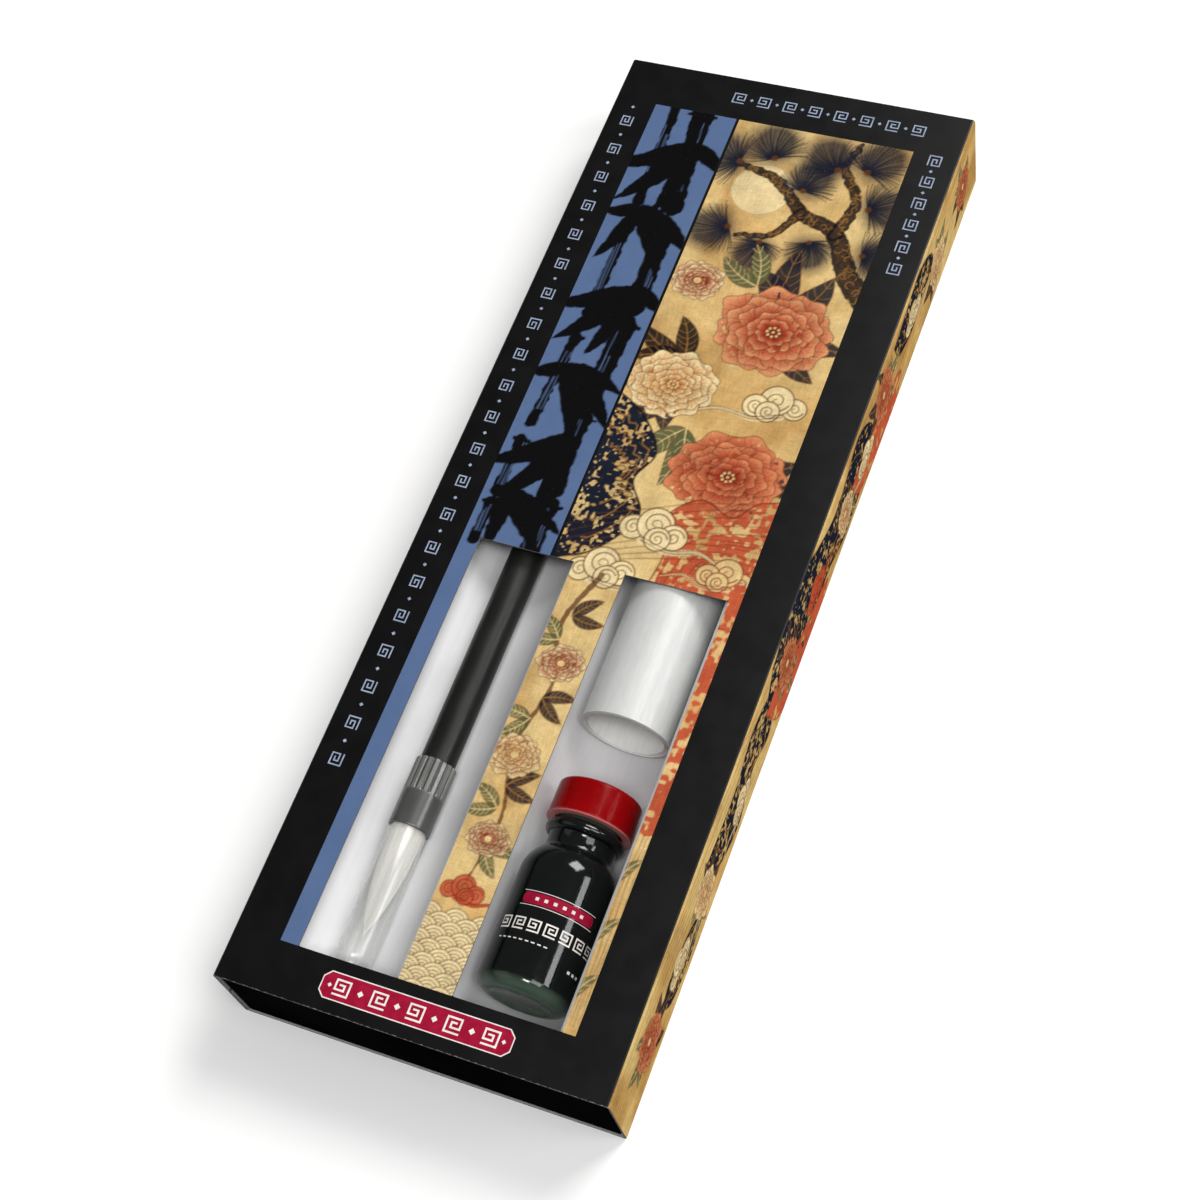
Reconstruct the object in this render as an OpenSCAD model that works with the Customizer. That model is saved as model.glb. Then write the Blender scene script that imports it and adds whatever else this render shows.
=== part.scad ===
// Brush and ink set in a flat card box, lying on its back.
// A printed card sleeve with two film windows holds a card drawer that slides out at either end.
// In the drawer lies a thermoformed tray with two troughs: one for the brush with its clear
// guard, one for the screw-capped ink bottle and the roll of paper.
// X runs across the box, Y from its near end to its far end, Z up. The origin is the middle
// of the underside. Lengths in millimetres.

/* [Card] */
// Outer width of the sleeve
box_w = 100; // [90:1:130]
// Thickness of the card of sleeve and drawer
card_t = 0.5; // [0.4:0.05:0.7]
// Outer radius of the card's folds
fold_r = 0.9; // [0.8:0.1:1.5]
// Height of the glue flap inside the sleeve's left side
flap_w = 14; // [8:1:18]
// Width of the drawer's glue tabs behind its end walls
tab_w = 15; // [8:1:20]
// Slope of the tabs' upper corners
tab_angle = 30; // [10:5:45]
// How far the drawer's ends lie inside the sleeve's ends
end_recess = 0.3; // [0.2:0.1:2]

/* [Windows] */
// Distance of both windows from the sleeve's near end
window_near = 12.7; // [8:0.1:20]
// Length of both windows
window_l = 113.6; // [80:0.1:150]
// Width of the window over the brush
brush_window_w = 25.9; // [18:0.1:27]
// Width of the window over the bottle and the roll
bottle_window_w = 27.3; // [18:0.1:28]
// How far the brush window's middle lies right of the brush
brush_window_shift = 2.5; // [-3:0.1:3]
// How far the bottle window's middle lies right of the bottle
bottle_window_shift = 2; // [-3:0.1:3]
// Radius of the windows' corners
window_r = 0.5; // [0.3:0.1:3]
// Thickness of the clear film
film_t = 0.15; // [0.1:0.05:0.3]
// Width of the film's glued margin round the windows
film_margin = 7; // [4:0.5:10]

/* [Tray] */
// Thickness of the formed sheet
sheet_t = 0.4; // [0.3:0.05:0.6]
// Slope of the troughs' walls against the vertical
draft = 6; // [3:1:8]
// Radius between a trough's floor and its end walls
trough_end_r = 2; // [1:0.5:3]
// Width of the rim between the tray's ends and the troughs
lip_w = 1.9; // [1.5:0.1:6]
// Radius of the tray's upright corners
tray_corner_r = 3; // [1.5:0.5:6]
// How far the tray's rim lies under the drawer's
rim_drop = 0.4; // [0.2:0.1:2]
// Place of the brush's trough across the box
brush_x = -22.6; // [-24:0.1:-19]
// Width of the brush's trough at the tray's rim
brush_trough_w = 28.9; // [24:0.1:29.5]
// How far the brush's collar lies under the tray's rim
brush_sink = 1.8; // [0.5:0.1:4]
// Place of the bottle's trough across the box
bottle_x = 18.2; // [17:0.1:24]
// Extra radius of the bottle's trough
bottle_trough_room = 1.5; // [0.4:0.1:1.8]
// Room in front of the bottle
bottle_room = 12.6; // [4:0.1:14]
// Gap between the bottle's cap and the roll
finger_gap = 16.5; // [13:0.5:25]
// Room behind the brush and the roll
far_room = 1.8; // [1:0.1:6]

/* [Ink bottle] */
// Diameter of the bottle's body
bottle_d = 23.8; // [20:0.1:28]
// Length of the bottle with its cap
bottle_l = 54.4; // [50:0.1:70]
// Height of the body up to its shoulder
shoulder_h = 30.4; // [26:0.1:34]
// Thickness of the glass
glass_t = 1.3; // [1:0.1:2]
// Thickness of the bottle's base
base_t = 3; // [2:0.1:4]
// Radius of the bottle's heel
heel_r = 3.5; // [2:0.1:5]
// Depth of the hollow under the base
punt_h = 0.9; // [0.4:0.1:1.5]
// Diameter of the finish that the cap turns on
finish_d = 17.2; // [14:0.1:18]
// How far the neck is drawn in under the finish
neck_in = 0.2; // [0.2:0.05:0.8]
// How far the bead under the cap stands out
bead_out = 1.5; // [0.5:0.1:1.6]
// Height of air over the ink
ink_air = 1.2; // [0.5:0.1:4]

/* [Cap] */
// Diameter of the cap
cap_d = 21.4; // [20.4:0.1:23]
// Height of the cap
cap_h = 9.4; // [8:0.1:12]
// Thickness of the cap's top
cap_top_t = 1.2; // [0.8:0.1:2]
// Radius of the cap's upper edge
cap_edge_r = 1.1; // [0.3:0.1:1.1]
// Thickness of the sealing disc
liner_t = 0.8; // [0.5:0.1:1.5]

/* [Brush] */
// Diameter of the collar
collar_d = 10.6; // [9.8:0.1:12]
// Length of the collar
collar_l = 18.1; // [16.5:0.1:24]
// Length of the collar's fluted part
flute_l = 8.6; // [5:0.1:9]
// Number of flutes
flute_n = 18; // [12:1:24]
// Radius of a flute
flute_r = 0.42; // [0.25:0.01:0.5]
// Depth of the socket that the guard plugs into
socket_l = 7; // [5:0.1:8]
// Diameter of the collar's bore for handle and tuft
collar_bore_d = 8; // [7:0.1:8.4]
// Diameter of the handle
handle_d = 8.9; // [8.6:0.1:11]
// Length of the handle without its tenon
handle_l = 206; // [170:1:240]
// Bore of the handle
handle_bore_d = 5.6; // [4:0.1:6]
// Length of the tenon in the collar
tenon_l = 5.4; // [4:0.1:6]
// Length of the handle's end plug outside the handle
plug_head_l = 3; // [2:0.1:6]
// Length of the end plug inside the handle
plug_tail_l = 7; // [4:0.5:15]

/* [Hair and guard] */
// Length of the clear guard
guard_l = 43.3; // [42:0.1:50]
// Diameter of the guard
guard_d = 9.4; // [9:0.1:9.5]
// Wall of the guard
guard_t = 0.35; // [0.25:0.05:0.4]
// Radius of the guard's closed end
guard_end_r = 3.5; // [2:0.1:4]
// How far the guard can be drawn forward in its trough
guard_travel = 7; // [6.9:0.1:10]
// Length of the hair from its root to its tip
hair_l = 38; // [32:0.5:38.5]
// Number of strands
strands = 320; // [300:10:400]
// Half width of a strand at its root
strand_r = 0.14; // [0.08:0.01:0.15]

/* [Paper roll] */
// Diameter of the roll
roll_d = 23.6; // [20:0.1:26]
// Length of the roll
roll_l = 186.5; // [150:0.5:220]
// Turns of the rolled sheets
roll_turns = 2; // [2:1:3]
// Distance from one turn to the next
roll_pitch = 0.8; // [0.7:0.05:1]
// Thickness of the rolled sheets
roll_t = 0.45; // [0.3:0.05:0.6]

/* [Hidden] */
$fn = 64;

// Clearances
slide_gap = 0.15; // between drawer and sleeve
seat_gap = 0.05; // between pieces that rest on or in each other for good
lay_gap = 0.2; // under what lies loose in a trough
film_gap = 0.25; // between the thickest piece and the film
rim_gap = 0.35; // between the drawer's rim and the film
tray_gap = 0.3; // between tray and drawer
turn_gap = 0.1; // between the cap and the finish it turns on
guard_gap = 0.2; // between the guard's mouth and the bottom of its socket
guard_room = 0.7; // in front of the guard when it is drawn forward
cut = 1; // how far a cutting solid runs past what it cuts

// Heights
drawer_z = card_t + slide_gap;
tray_z = drawer_z + card_t + seat_gap;
floor_z = tray_z + sheet_t;
lay_d = max(bottle_d, roll_d);
film_z = floor_z + lay_gap + lay_d + film_gap;
box_h = film_z + film_t + card_t;
drawer_rim_z = film_z - rim_gap;
rim_z = drawer_rim_z - rim_drop;
bottle_z = floor_z + lay_gap + bottle_d / 2;
roll_z = floor_z + lay_gap + roll_d / 2;
brush_depth = brush_sink + collar_d + lay_gap;
brush_floor_z = rim_z - brush_depth;
brush_z = brush_floor_z + lay_gap + collar_d / 2;

// Troughs: radius of the round floor and height of its centre
brush_trough_r = (pow(brush_trough_w / 2, 2) + pow(brush_depth, 2)) / (2 * brush_depth);
brush_trough_zc = brush_floor_z + brush_trough_r;
bottle_trough_r = lay_d / 2 + bottle_trough_room;
bottle_trough_zc = floor_z + bottle_trough_r;

// Lengths, measured from the sleeve's near end
end_wall_t = 2 * card_t;
tray_near = end_recess + end_wall_t + card_t + tray_gap;
trough_near = tray_near + lip_w;
brush_near = trough_near + brush_depth * tan(draft);
guard_y = brush_near + guard_room + guard_travel;
collar_y = guard_y + guard_l - (socket_l - guard_gap);
handle_y = collar_y + collar_l + seat_gap;
plug_y = handle_y + handle_l + seat_gap;
brush_far = plug_y + plug_head_l + far_room;
bottle_y = trough_near + (rim_z - floor_z) * tan(draft) + bottle_room;
roll_y = bottle_y + bottle_l + finger_gap;
roll_far = roll_y + roll_l + far_room;
trough_far = max(brush_far + brush_depth * tan(draft), roll_far + (rim_z - floor_z) * tan(draft));
tray_far = trough_far + lip_w;
box_l = tray_far + tray_gap + card_t + end_wall_t + end_recess;

// Widths
side_gap = card_t + slide_gap;
drawer_w = box_w - 2 * card_t - 2 * side_gap;
tray_w = drawer_w - 2 * card_t - 2 * tray_gap;
brush_window_x = brush_x + brush_window_shift;
bottle_window_x = bottle_x + bottle_window_shift;

// Bottle, measured from its base
shoulder_r = 8.5; // round of the shoulder
shoulder_fillet_r = 2; // hollow between shoulder and neck
least_heel_r = 0.5; // round of the inner heel, where the wall leaves less
punt_share = 0.8; // share of the punt's height that is left half way out
finish_wall = 2.2; // wall of the finish
finish_taper = 1.5; // height over which the bore narrows into the finish
finish_edge_r = 0.5; // round of the finish's mouth
bead_gap = 0.9; // between the cap's foot and the bead
bead_root = 0.1; // how deep the bead's round starts in the finish
glass_h = bottle_l - cap_top_t - liner_t - 2 * seat_gap;
neck_r = finish_d / 2 - neck_in;
cap_y = bottle_l - cap_h;
bead_h = cap_y - bead_gap - bead_out;
finish_bore_r = finish_d / 2 - finish_wall;
cap_foot_out = 0.15; // how far the cap's foot stands out
cap_foot_h = 0.5; // height of the cap's foot
cap_foot_slope = 0.3; // height over which it runs into the cap's side

// Brush, measured from the collar's front towards the handle
tuft_set_back = 2.4; // from the bottom of the socket to the tuft's root
slice_t = 0.8; // thickness of the slice that the strands stand on
socket_lead = 0.1; // how far the socket's mouth widens
socket_lead_l = 0.3; // length over which it widens
collar_edge = 0.3; // bevel of the collar's ends
flute_shift = 0.1; // share of a flute's radius that its middle lies outside the collar
handle_edge = 0.4; // bevel of the handle's front
plug_dome_r = 1.6; // round of the end plug
tuft_y = socket_l + tuft_set_back;
tuft_plug_l = collar_l - tenon_l - tuft_y - slice_t - 3 * seat_gap;
hair_root_r = collar_bore_d / 2 - seat_gap;
guard_bore_r = guard_d / 2 - guard_t;

// Hair: strands on a spiral that fills the slice evenly
golden_angle = 137.508; // from one strand to the next
root_edge = 0.05; // between the outermost strand and the slice's edge
outer_short = 0.28; // share by which the outermost strand is shorter
draw_power = 1.9; // how late the strands draw together
ring_shares = [0, 0.4, 0.75]; // where along a strand its rings of points lie

// Paper roll
roll_steps = 44; // points in each turn
roll_edge_angle = -60; // where the inner edge of the sheets lies

// Points of an arc about c, from angle a0 to angle a1, in n steps
function arc(c, r, a0, a1, n = 8) = [
    for (i = [0:n]) let (a = a0 + (a1 - a0) * i / n) [c[0] + r * cos(a), c[1] + r * sin(a)]
];

// A place along the box, given from the sleeve's near end
function along(y) = y - box_l / 2;

module rounded_rect(w, l, r) {
    square([w - 2 * r, l], center = true);
    square([w, l - 2 * r], center = true);
    for (x = [-1, 1], y = [-1, 1]) {
        translate([x * (w / 2 - r), y * (l / 2 - r)]) circle(r);
    }
}

// Carries a section drawn in X and Z along the box, from y0 to y1
module carried_along(y0, y1) {
    translate([0, along(y1), 0])
        rotate([90, 0, 0])
            linear_extrude(y1 - y0)
                children();
}

// Carries a section drawn in Y and Z across the box, over the width w about x
module carried_across(x, w) {
    translate([x - w / 2, 0, 0])
        rotate([90, 0, 90])
            linear_extrude(w)
                children();
}

// Lays a shape turned about Z along the box, its foot at y
module laid(x, y, z) {
    translate([x, along(y), z]) rotate([-90, 0, 0]) children();
}

// Section of the wrapped sleeve: the bottom panel folds up inside the left side as the flap
module sleeve_section() {
    left = -box_w / 2;
    corner = fold_r + card_t;
    difference() {
        translate([0, box_h / 2]) rounded_rect(box_w, box_h, fold_r);
        translate([0, box_h / 2])
            rounded_rect(box_w - 2 * card_t, box_h - 2 * card_t, fold_r - card_t);
        translate([left - cut, -cut]) square([corner + cut, corner + cut]);
    }
    // the left side's cut edge stands on the table
    translate([left, 0]) square([card_t, corner]);
    // the flap's fold
    translate([left + corner, fold_r]) {
        intersection() {
            difference() {
                circle(fold_r);
                circle(fold_r - card_t);
            }
            translate([-fold_r, -fold_r]) square(fold_r);
        }
    }
    translate([left + card_t, fold_r]) square([card_t, flap_w]);
}

module sleeve_card() {
    color([0.07, 0.07, 0.08])
        difference() {
            carried_along(0, box_l) sleeve_section();
            translate([0, along(window_near + window_l / 2), box_h - card_t - cut])
                linear_extrude(card_t + 2 * cut) {
                    translate([brush_window_x, 0])
                        rounded_rect(brush_window_w, window_l, window_r);
                    translate([bottle_window_x, 0])
                        rounded_rect(bottle_window_w, window_l, window_r);
                }
        }
}

module window_film() {
    x0 = brush_window_x - brush_window_w / 2 - film_margin;
    x1 = bottle_window_x + bottle_window_w / 2 + film_margin;
    color([0.85, 0.92, 0.97, 0.35])
        translate([(x0 + x1) / 2, along(window_near + window_l / 2), film_z])
            linear_extrude(film_t)
                square([x1 - x0, window_l + 2 * film_margin], center = true);
}

// One end wall: the outer panel folded over its rim, drawn with the box's inside to the right
module drawer_end_section() {
    translate([0, drawer_z + fold_r]) square([end_wall_t, drawer_rim_z - drawer_z - fold_r - card_t]);
    translate([fold_r, drawer_z]) square([end_wall_t, card_t]);
    translate([card_t, drawer_rim_z - card_t]) circle(card_t);
    translate([fold_r, drawer_z + fold_r]) {
        intersection() {
            circle(fold_r);
            translate([-fold_r, -fold_r]) square(fold_r);
        }
    }
}

module drawer_tab() {
    h = drawer_rim_z - drawer_z - 2 * card_t;
    polygon([[0, 0], [tab_w, 0], [tab_w, h - tab_w * tan(tab_angle) / 2], [tab_w / 2, h], [0, h]]);
}

module drawer_half() {
    near = end_recess;
    half_w = drawer_w / 2;
    translate([0, along(near), 0]) carried_across(0, drawer_w - 2 * card_t) drawer_end_section();
    for (side = [-1, 1]) {
        translate([side * (half_w - card_t), along(near + end_wall_t + card_t), drawer_z + card_t])
            rotate([90, 0, 0])
                linear_extrude(card_t)
                    scale([-side, 1])
                        drawer_tab();
    }
}

module drawer_card() {
    half_w = drawer_w / 2;
    color([0.05, 0.05, 0.055]) {
        carried_along(end_recess + fold_r, box_l - end_recess - fold_r) {
            difference() {
                translate([0, drawer_rim_z]) {
                    rounded_rect(drawer_w, 2 * (drawer_rim_z - drawer_z), fold_r);
                }
                translate([0, drawer_rim_z]) {
                    rounded_rect(
                        drawer_w - 2 * card_t,
                        2 * (drawer_rim_z - drawer_z - card_t),
                        fold_r - card_t
                    );
                }
                translate([-half_w - cut, drawer_rim_z]) square([drawer_w + 2 * cut, box_h]);
            }
        }
        drawer_half();
        rotate([0, 0, 180]) drawer_half();
    }
}

// Section of a trough across the box: a round floor, then sloping walls up to the rim
module trough_section(x, zc, r, top) {
    h = top - zc;
    translate([x, zc]) {
        if (h > 0) {
            circle(r);
            polygon([
                [-r * cos(draft), -r * sin(draft)],
                [r * cos(draft), -r * sin(draft)],
                [r / cos(draft) + h * tan(draft), h],
                [-r / cos(draft) - h * tan(draft), h],
            ]);
        } else {
            intersection() {
                circle(r);
                translate([-r, -r]) square([2 * r, r + h]);
            }
        }
    }
}

// Outline of a trough along the box: sloping ends with round feet
module trough_outline(y0, y1, bottom, top, r) {
    lean = (top - bottom) * tan(draft);
    foot = r * tan((90 - draft) / 2);
    translate([-box_l / 2, 0])
        polygon(concat(
            [[y0, top]],
            arc([y0 + lean + foot, bottom + r], r, 180 + draft, 270),
            arc([y1 - lean - foot, bottom + r], r, 270, 360 - draft),
            [[y1, top]]
        ));
}

// A trough's inner space, or with grow = sheet_t the outside of its wall
module trough(x, zc, r, grow, top) {
    intersection() {
        carried_along(0, box_l) trough_section(x, zc, r + grow, top);
        carried_across(x, 4 * r)
            trough_outline(trough_near - grow, trough_far + grow, zc - r - grow, top, trough_end_r + grow);
    }
}

module insert_tray() {
    length = tray_far - tray_near;
    color([0.93, 0.93, 0.94])
        difference() {
            union() {
                translate([0, 0, rim_z - sheet_t])
                    linear_extrude(sheet_t)
                        rounded_rect(tray_w, length, tray_corner_r);
                translate([0, 0, tray_z])
                    linear_extrude(rim_z - tray_z) {
                        difference() {
                            rounded_rect(tray_w, length, tray_corner_r);
                            rounded_rect(
                                tray_w - 2 * sheet_t,
                                length - 2 * sheet_t,
                                tray_corner_r - sheet_t
                            );
                        }
                    }
                trough(brush_x, brush_trough_zc, brush_trough_r, sheet_t, rim_z);
                trough(bottle_x, bottle_trough_zc, bottle_trough_r, sheet_t, rim_z);
            }
            trough(brush_x, brush_trough_zc, brush_trough_r, 0, rim_z + cut);
            trough(bottle_x, bottle_trough_zc, bottle_trough_r, 0, rim_z + cut);
        }
}

// Half outline of the glass from its base up to the neck, drawn in by d
function glass_outline(d) =
    let (
        r = bottle_d / 2 - d,
        heel = max(heel_r - d, least_heel_r),
        foot = d == 0 ? 0 : base_t,
        turn_r = shoulder_r - d,
        fillet = shoulder_fillet_r + d,
        c = [bottle_d / 2 - shoulder_r, shoulder_h],
        neck = neck_r - d,
        // the two arcs of the shoulder meet where the neck's fillet stands clear of it
        swing = acos((neck + fillet - c[0]) / (turn_r + fillet)),
        c2 = [c[0] + (turn_r + fillet) * cos(swing), c[1] + (turn_r + fillet) * sin(swing)]
    )
    concat(
        arc([r - heel, foot + heel], heel, -90, 0, 6),
        arc(c, turn_r, 0, swing, 8),
        arc(c2, fillet, 180 + swing, 180, 6)
    );

function reversed(points) = [for (i = [len(points) - 1:-1:0]) points[i]];

// Height at which the bore has narrowed to the finish's
finish_bore_h = let (line = glass_outline(glass_t)) line[len(line) - 1][1] + finish_taper;

module ink_bottle() {
    finish_r = finish_d / 2;
    outside = concat(
        [[0, punt_h], [(bottle_d / 2 - heel_r) / 2, punt_h * punt_share]],
        glass_outline(0),
        [[neck_r, bead_h - bead_out]],
        arc([finish_r - bead_root, bead_h], bead_out, -90, 90, 8),
        [[finish_r, cap_y]],
        arc([finish_r - finish_edge_r, glass_h - finish_edge_r], finish_edge_r, 0, 90, 4)
    );
    inside = concat(
        [[0, base_t]],
        glass_outline(glass_t),
        [[finish_bore_r, finish_bore_h], [finish_bore_r, glass_h]]
    );
    color([0.10, 0.16, 0.15, 0.6])
        laid(bottle_x, bottle_y, bottle_z)
            rotate_extrude()
                polygon(concat(outside, reversed(inside)));
}

module ink() {
    r = finish_bore_r - seat_gap;
    level_z = bottle_z + bottle_d / 2 - glass_t - ink_air;
    // the glass's inner outline, drawn in by the seat gap
    wetted = [
        for (p = glass_outline(glass_t))
            [p[0] - seat_gap, p[1] + (p[1] < shoulder_h / 2 ? seat_gap : 0)]
    ];
    color([0.02, 0.02, 0.025])
        difference() {
            laid(bottle_x, bottle_y, bottle_z)
                rotate_extrude()
                    polygon(concat(
                        [[0, base_t + seat_gap]],
                        wetted,
                        [[r, finish_bore_h], [r, bead_h], [0, bead_h]]
                    ));
            translate([bottle_x - bottle_d, along(bottle_y) - cut, level_z])
                cube([2 * bottle_d, bottle_l, bottle_d]);
        }
}

module bottle_cap() {
    r = cap_d / 2;
    bore = finish_d / 2 + turn_gap;
    foot_r = r + cap_foot_out;
    color([0.72, 0.04, 0.08])
        laid(bottle_x, bottle_y + cap_y, bottle_z)
            rotate_extrude()
                polygon(concat(
                    [[bore, 0], [foot_r, 0], [foot_r, cap_foot_h], [r, cap_foot_h + cap_foot_slope]],
                    arc([r - cap_edge_r, cap_h - cap_edge_r], cap_edge_r, 0, 90, 6),
                    [[0, cap_h], [0, cap_h - cap_top_t], [bore, cap_h - cap_top_t]]
                ));
}

module cap_liner() {
    color([0.92, 0.9, 0.85])
        laid(bottle_x, bottle_y + bottle_l - cap_top_t - seat_gap - liner_t, bottle_z)
            cylinder(h = liner_t, r = finish_d / 2);
}

// The rolled sheets as one spiral strip: its outside winds out, its inside winds back
module paper_roll() {
    steps = roll_steps * roll_turns;
    r_in = roll_d / 2 - roll_t - roll_pitch * roll_turns;
    function turn(i, r) = let (a = roll_edge_angle + 360 * i / roll_steps) [r * cos(a), r * sin(a)];
    outer = [for (i = [0:steps]) turn(i, r_in + roll_t + roll_pitch * roll_turns * i / steps)];
    inner = [for (i = [steps:-1:0]) turn(i, r_in + roll_pitch * roll_turns * i / steps)];
    color([0.96, 0.96, 0.93])
        laid(bottle_x, roll_y, roll_z)
            linear_extrude(roll_l)
                polygon(concat(outer, inner));
}

module brush_handle() {
    r = handle_d / 2;
    tenon_r = collar_bore_d / 2 - seat_gap;
    tenon_edge = handle_edge / 2;
    color([0.06, 0.06, 0.055])
        laid(brush_x, handle_y, brush_z)
            rotate_extrude()
                polygon([
                    [handle_bore_d / 2, -tenon_l],
                    [tenon_r - tenon_edge, -tenon_l],
                    [tenon_r, -tenon_l + tenon_edge],
                    [tenon_r, 0],
                    [r - handle_edge, 0],
                    [r, handle_edge],
                    [r, handle_l],
                    [handle_bore_d / 2, handle_l],
                ]);
}

module handle_plug() {
    r = handle_d / 2;
    tail_r = handle_bore_d / 2 - seat_gap;
    color([0.08, 0.08, 0.075])
        laid(brush_x, plug_y, brush_z)
            rotate_extrude()
                polygon(concat(
                    [[0, -plug_tail_l], [tail_r, -plug_tail_l], [tail_r, 0], [r, 0]],
                    arc([r - plug_dome_r, plug_head_l - plug_dome_r], plug_dome_r, 0, 90, 6),
                    [[0, plug_head_l]]
                ));
}

module brush_collar() {
    r = collar_d / 2;
    socket_r = guard_d / 2 + seat_gap;
    color([0.42, 0.45, 0.44, 0.7])
        laid(brush_x, collar_y, brush_z)
            difference() {
                rotate_extrude()
                    polygon([
                        [socket_r + socket_lead, 0],
                        [r - collar_edge, 0],
                        [r, collar_edge],
                        [r, collar_l - collar_edge],
                        [r - collar_edge, collar_l],
                        [collar_bore_d / 2, collar_l],
                        [collar_bore_d / 2, socket_l],
                        [socket_r, socket_l],
                        [socket_r, socket_lead_l],
                    ]);
                for (i = [0:flute_n - 1]) {
                    rotate([0, 0, (i + 0.5) * 360 / flute_n])
                        translate([r + flute_r * flute_shift, 0, collar_l - flute_l])
                            cylinder(h = flute_l + cut, r = flute_r, $fn = 24);
                }
            }
}

module tuft_plug() {
    color([0.75, 0.62, 0.38])
        laid(brush_x, collar_y + tuft_y + slice_t + seat_gap, brush_z)
            cylinder(h = tuft_plug_l, r = collar_bore_d / 2 - seat_gap);
}

// Share of its root distance from the axis that a strand keeps at share t of the hair's length
function drawn_in(t) = 1 - pow(t, draw_power);

// One strand: three rings of three points and a tip, i from the axis outwards
function strand_points(i) =
    let (
        share = sqrt((i + 0.5) / strands),
        distance = (hair_root_r - strand_r - root_edge) * share,
        turn = i * golden_angle,
        length = hair_l * (1 - outer_short * share * share)
    )
    concat(
        [
            for (t = ring_shares) for (k = [0:2])
                let (
                    h = t * length,
                    from_axis = distance * drawn_in(h / hair_l),
                    half = strand_r * (1 - t),
                    a = turn + 120 * k
                )
                [
                    from_axis * cos(turn) + half * cos(a),
                    from_axis * sin(turn) + half * sin(a),
                    h - (t == 0 ? slice_t / 2 : 0),
                ]
        ],
        [[
            distance * drawn_in(length / hair_l) * cos(turn),
            distance * drawn_in(length / hair_l) * sin(turn),
            length,
        ]]
    );

function strand_faces(o) = concat(
    [[o, o + 1, o + 2]],
    [
        for (ring = [0, 3]) for (k = [0:2])
            let (a = o + ring + k, b = o + ring + (k + 1) % 3)
            each [[a, a + 3, b], [b, a + 3, b + 3]]
    ],
    [for (k = [0:2]) [o + 6 + k, o + 9, o + 6 + (k + 1) % 3]]
);

module brush_hair() {
    color([0.93, 0.90, 0.82])
        translate([brush_x, along(collar_y + tuft_y), brush_z])
            rotate([90, 0, 0]) {
                translate([0, 0, -slice_t]) cylinder(h = slice_t, r = hair_root_r);
                polyhedron(
                    points = [for (i = [0:strands - 1]) each strand_points(i)],
                    faces = [for (i = [0:strands - 1]) each strand_faces(10 * i)]
                );
            }
}

module hair_guard() {
    r = guard_d / 2;
    color([0.85, 0.9, 0.92, 0.4])
        laid(brush_x, guard_y, brush_z)
            rotate_extrude()
                polygon(concat(
                    [[0, 0]],
                    arc([r - guard_end_r, guard_end_r], guard_end_r, -90, 0, 8),
                    [[r, guard_l], [guard_bore_r, guard_l]],
                    arc([r - guard_end_r, guard_end_r], guard_end_r - guard_t, 0, -90, 8),
                    [[0, guard_t]]
                ));
}

sleeve_card();
window_film();
drawer_card();
insert_tray();
ink_bottle();
ink();
bottle_cap();
cap_liner();
paper_roll();
brush_handle();
handle_plug();
brush_collar();
tuft_plug();
brush_hair();
hair_guard();
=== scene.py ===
import math

import bmesh
import bpy
import numpy as np
from mathutils import Matrix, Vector
from mathutils.geometry import tessellate_polygon


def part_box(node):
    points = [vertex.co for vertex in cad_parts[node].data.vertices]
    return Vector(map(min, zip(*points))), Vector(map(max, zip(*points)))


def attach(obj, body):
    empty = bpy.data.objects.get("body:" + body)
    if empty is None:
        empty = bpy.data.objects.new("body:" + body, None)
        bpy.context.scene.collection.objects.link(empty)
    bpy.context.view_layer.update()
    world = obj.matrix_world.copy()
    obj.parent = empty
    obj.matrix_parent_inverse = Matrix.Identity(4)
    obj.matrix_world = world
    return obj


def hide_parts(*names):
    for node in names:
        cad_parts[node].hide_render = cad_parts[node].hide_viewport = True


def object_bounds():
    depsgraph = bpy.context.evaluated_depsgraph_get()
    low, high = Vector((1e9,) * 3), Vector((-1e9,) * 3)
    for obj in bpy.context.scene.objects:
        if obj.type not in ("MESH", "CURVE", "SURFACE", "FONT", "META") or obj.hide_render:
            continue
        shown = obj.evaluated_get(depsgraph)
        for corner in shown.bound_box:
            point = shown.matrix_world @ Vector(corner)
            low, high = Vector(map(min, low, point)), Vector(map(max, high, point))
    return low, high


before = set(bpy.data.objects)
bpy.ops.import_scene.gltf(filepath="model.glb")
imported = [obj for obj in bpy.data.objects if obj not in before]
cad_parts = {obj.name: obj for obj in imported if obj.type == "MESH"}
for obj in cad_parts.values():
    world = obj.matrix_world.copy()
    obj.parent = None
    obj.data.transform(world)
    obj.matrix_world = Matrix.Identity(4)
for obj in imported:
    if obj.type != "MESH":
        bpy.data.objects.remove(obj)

# Looks of a brush and ink set in a flat card box: the printed sleeve with two windows, the formed
# tray, the bottle, the roll of paper and the brush. Shapes are worked out in millimetres, in the
# frame of the CAD model, and become metres when a mesh is made.

cad_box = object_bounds()
MM = 0.001


def span(node):
    """Lowest and highest corner of a CAD node at rest, in millimetres."""
    low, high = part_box(node)
    return np.array(low) / MM, np.array(high) / MM


def lying(node):
    """Axis (x, z), radius, near end and length of a round CAD node that lies along the box."""
    low, high = span(node)
    return ((low[0] + high[0]) / 2, (low[2] + high[2]) / 2), (high[0] - low[0]) / 2, low[1], high[1] - low[1]


def tone(red, green, blue):
    """A colour as the eye names it, each part from 0 to 1, as linear light."""
    part = np.array([red, green, blue])
    return np.where(part <= 0.04045, part / 12.92, ((part + 0.055) / 1.055) ** 2.4)


def put(name, data, back, side, place):
    """Adds a camera or lamp that looks away from back, with side to its right."""
    turn = np.identity(4)
    turn[:3, :4] = np.stack([side, np.cross(back, side), back, place], 1)
    thing = bpy.data.objects.new(name, data)
    thing.matrix_world = Matrix(turn.tolist())
    bpy.context.scene.collection.objects.link(thing)
    return thing


# Camera

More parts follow.
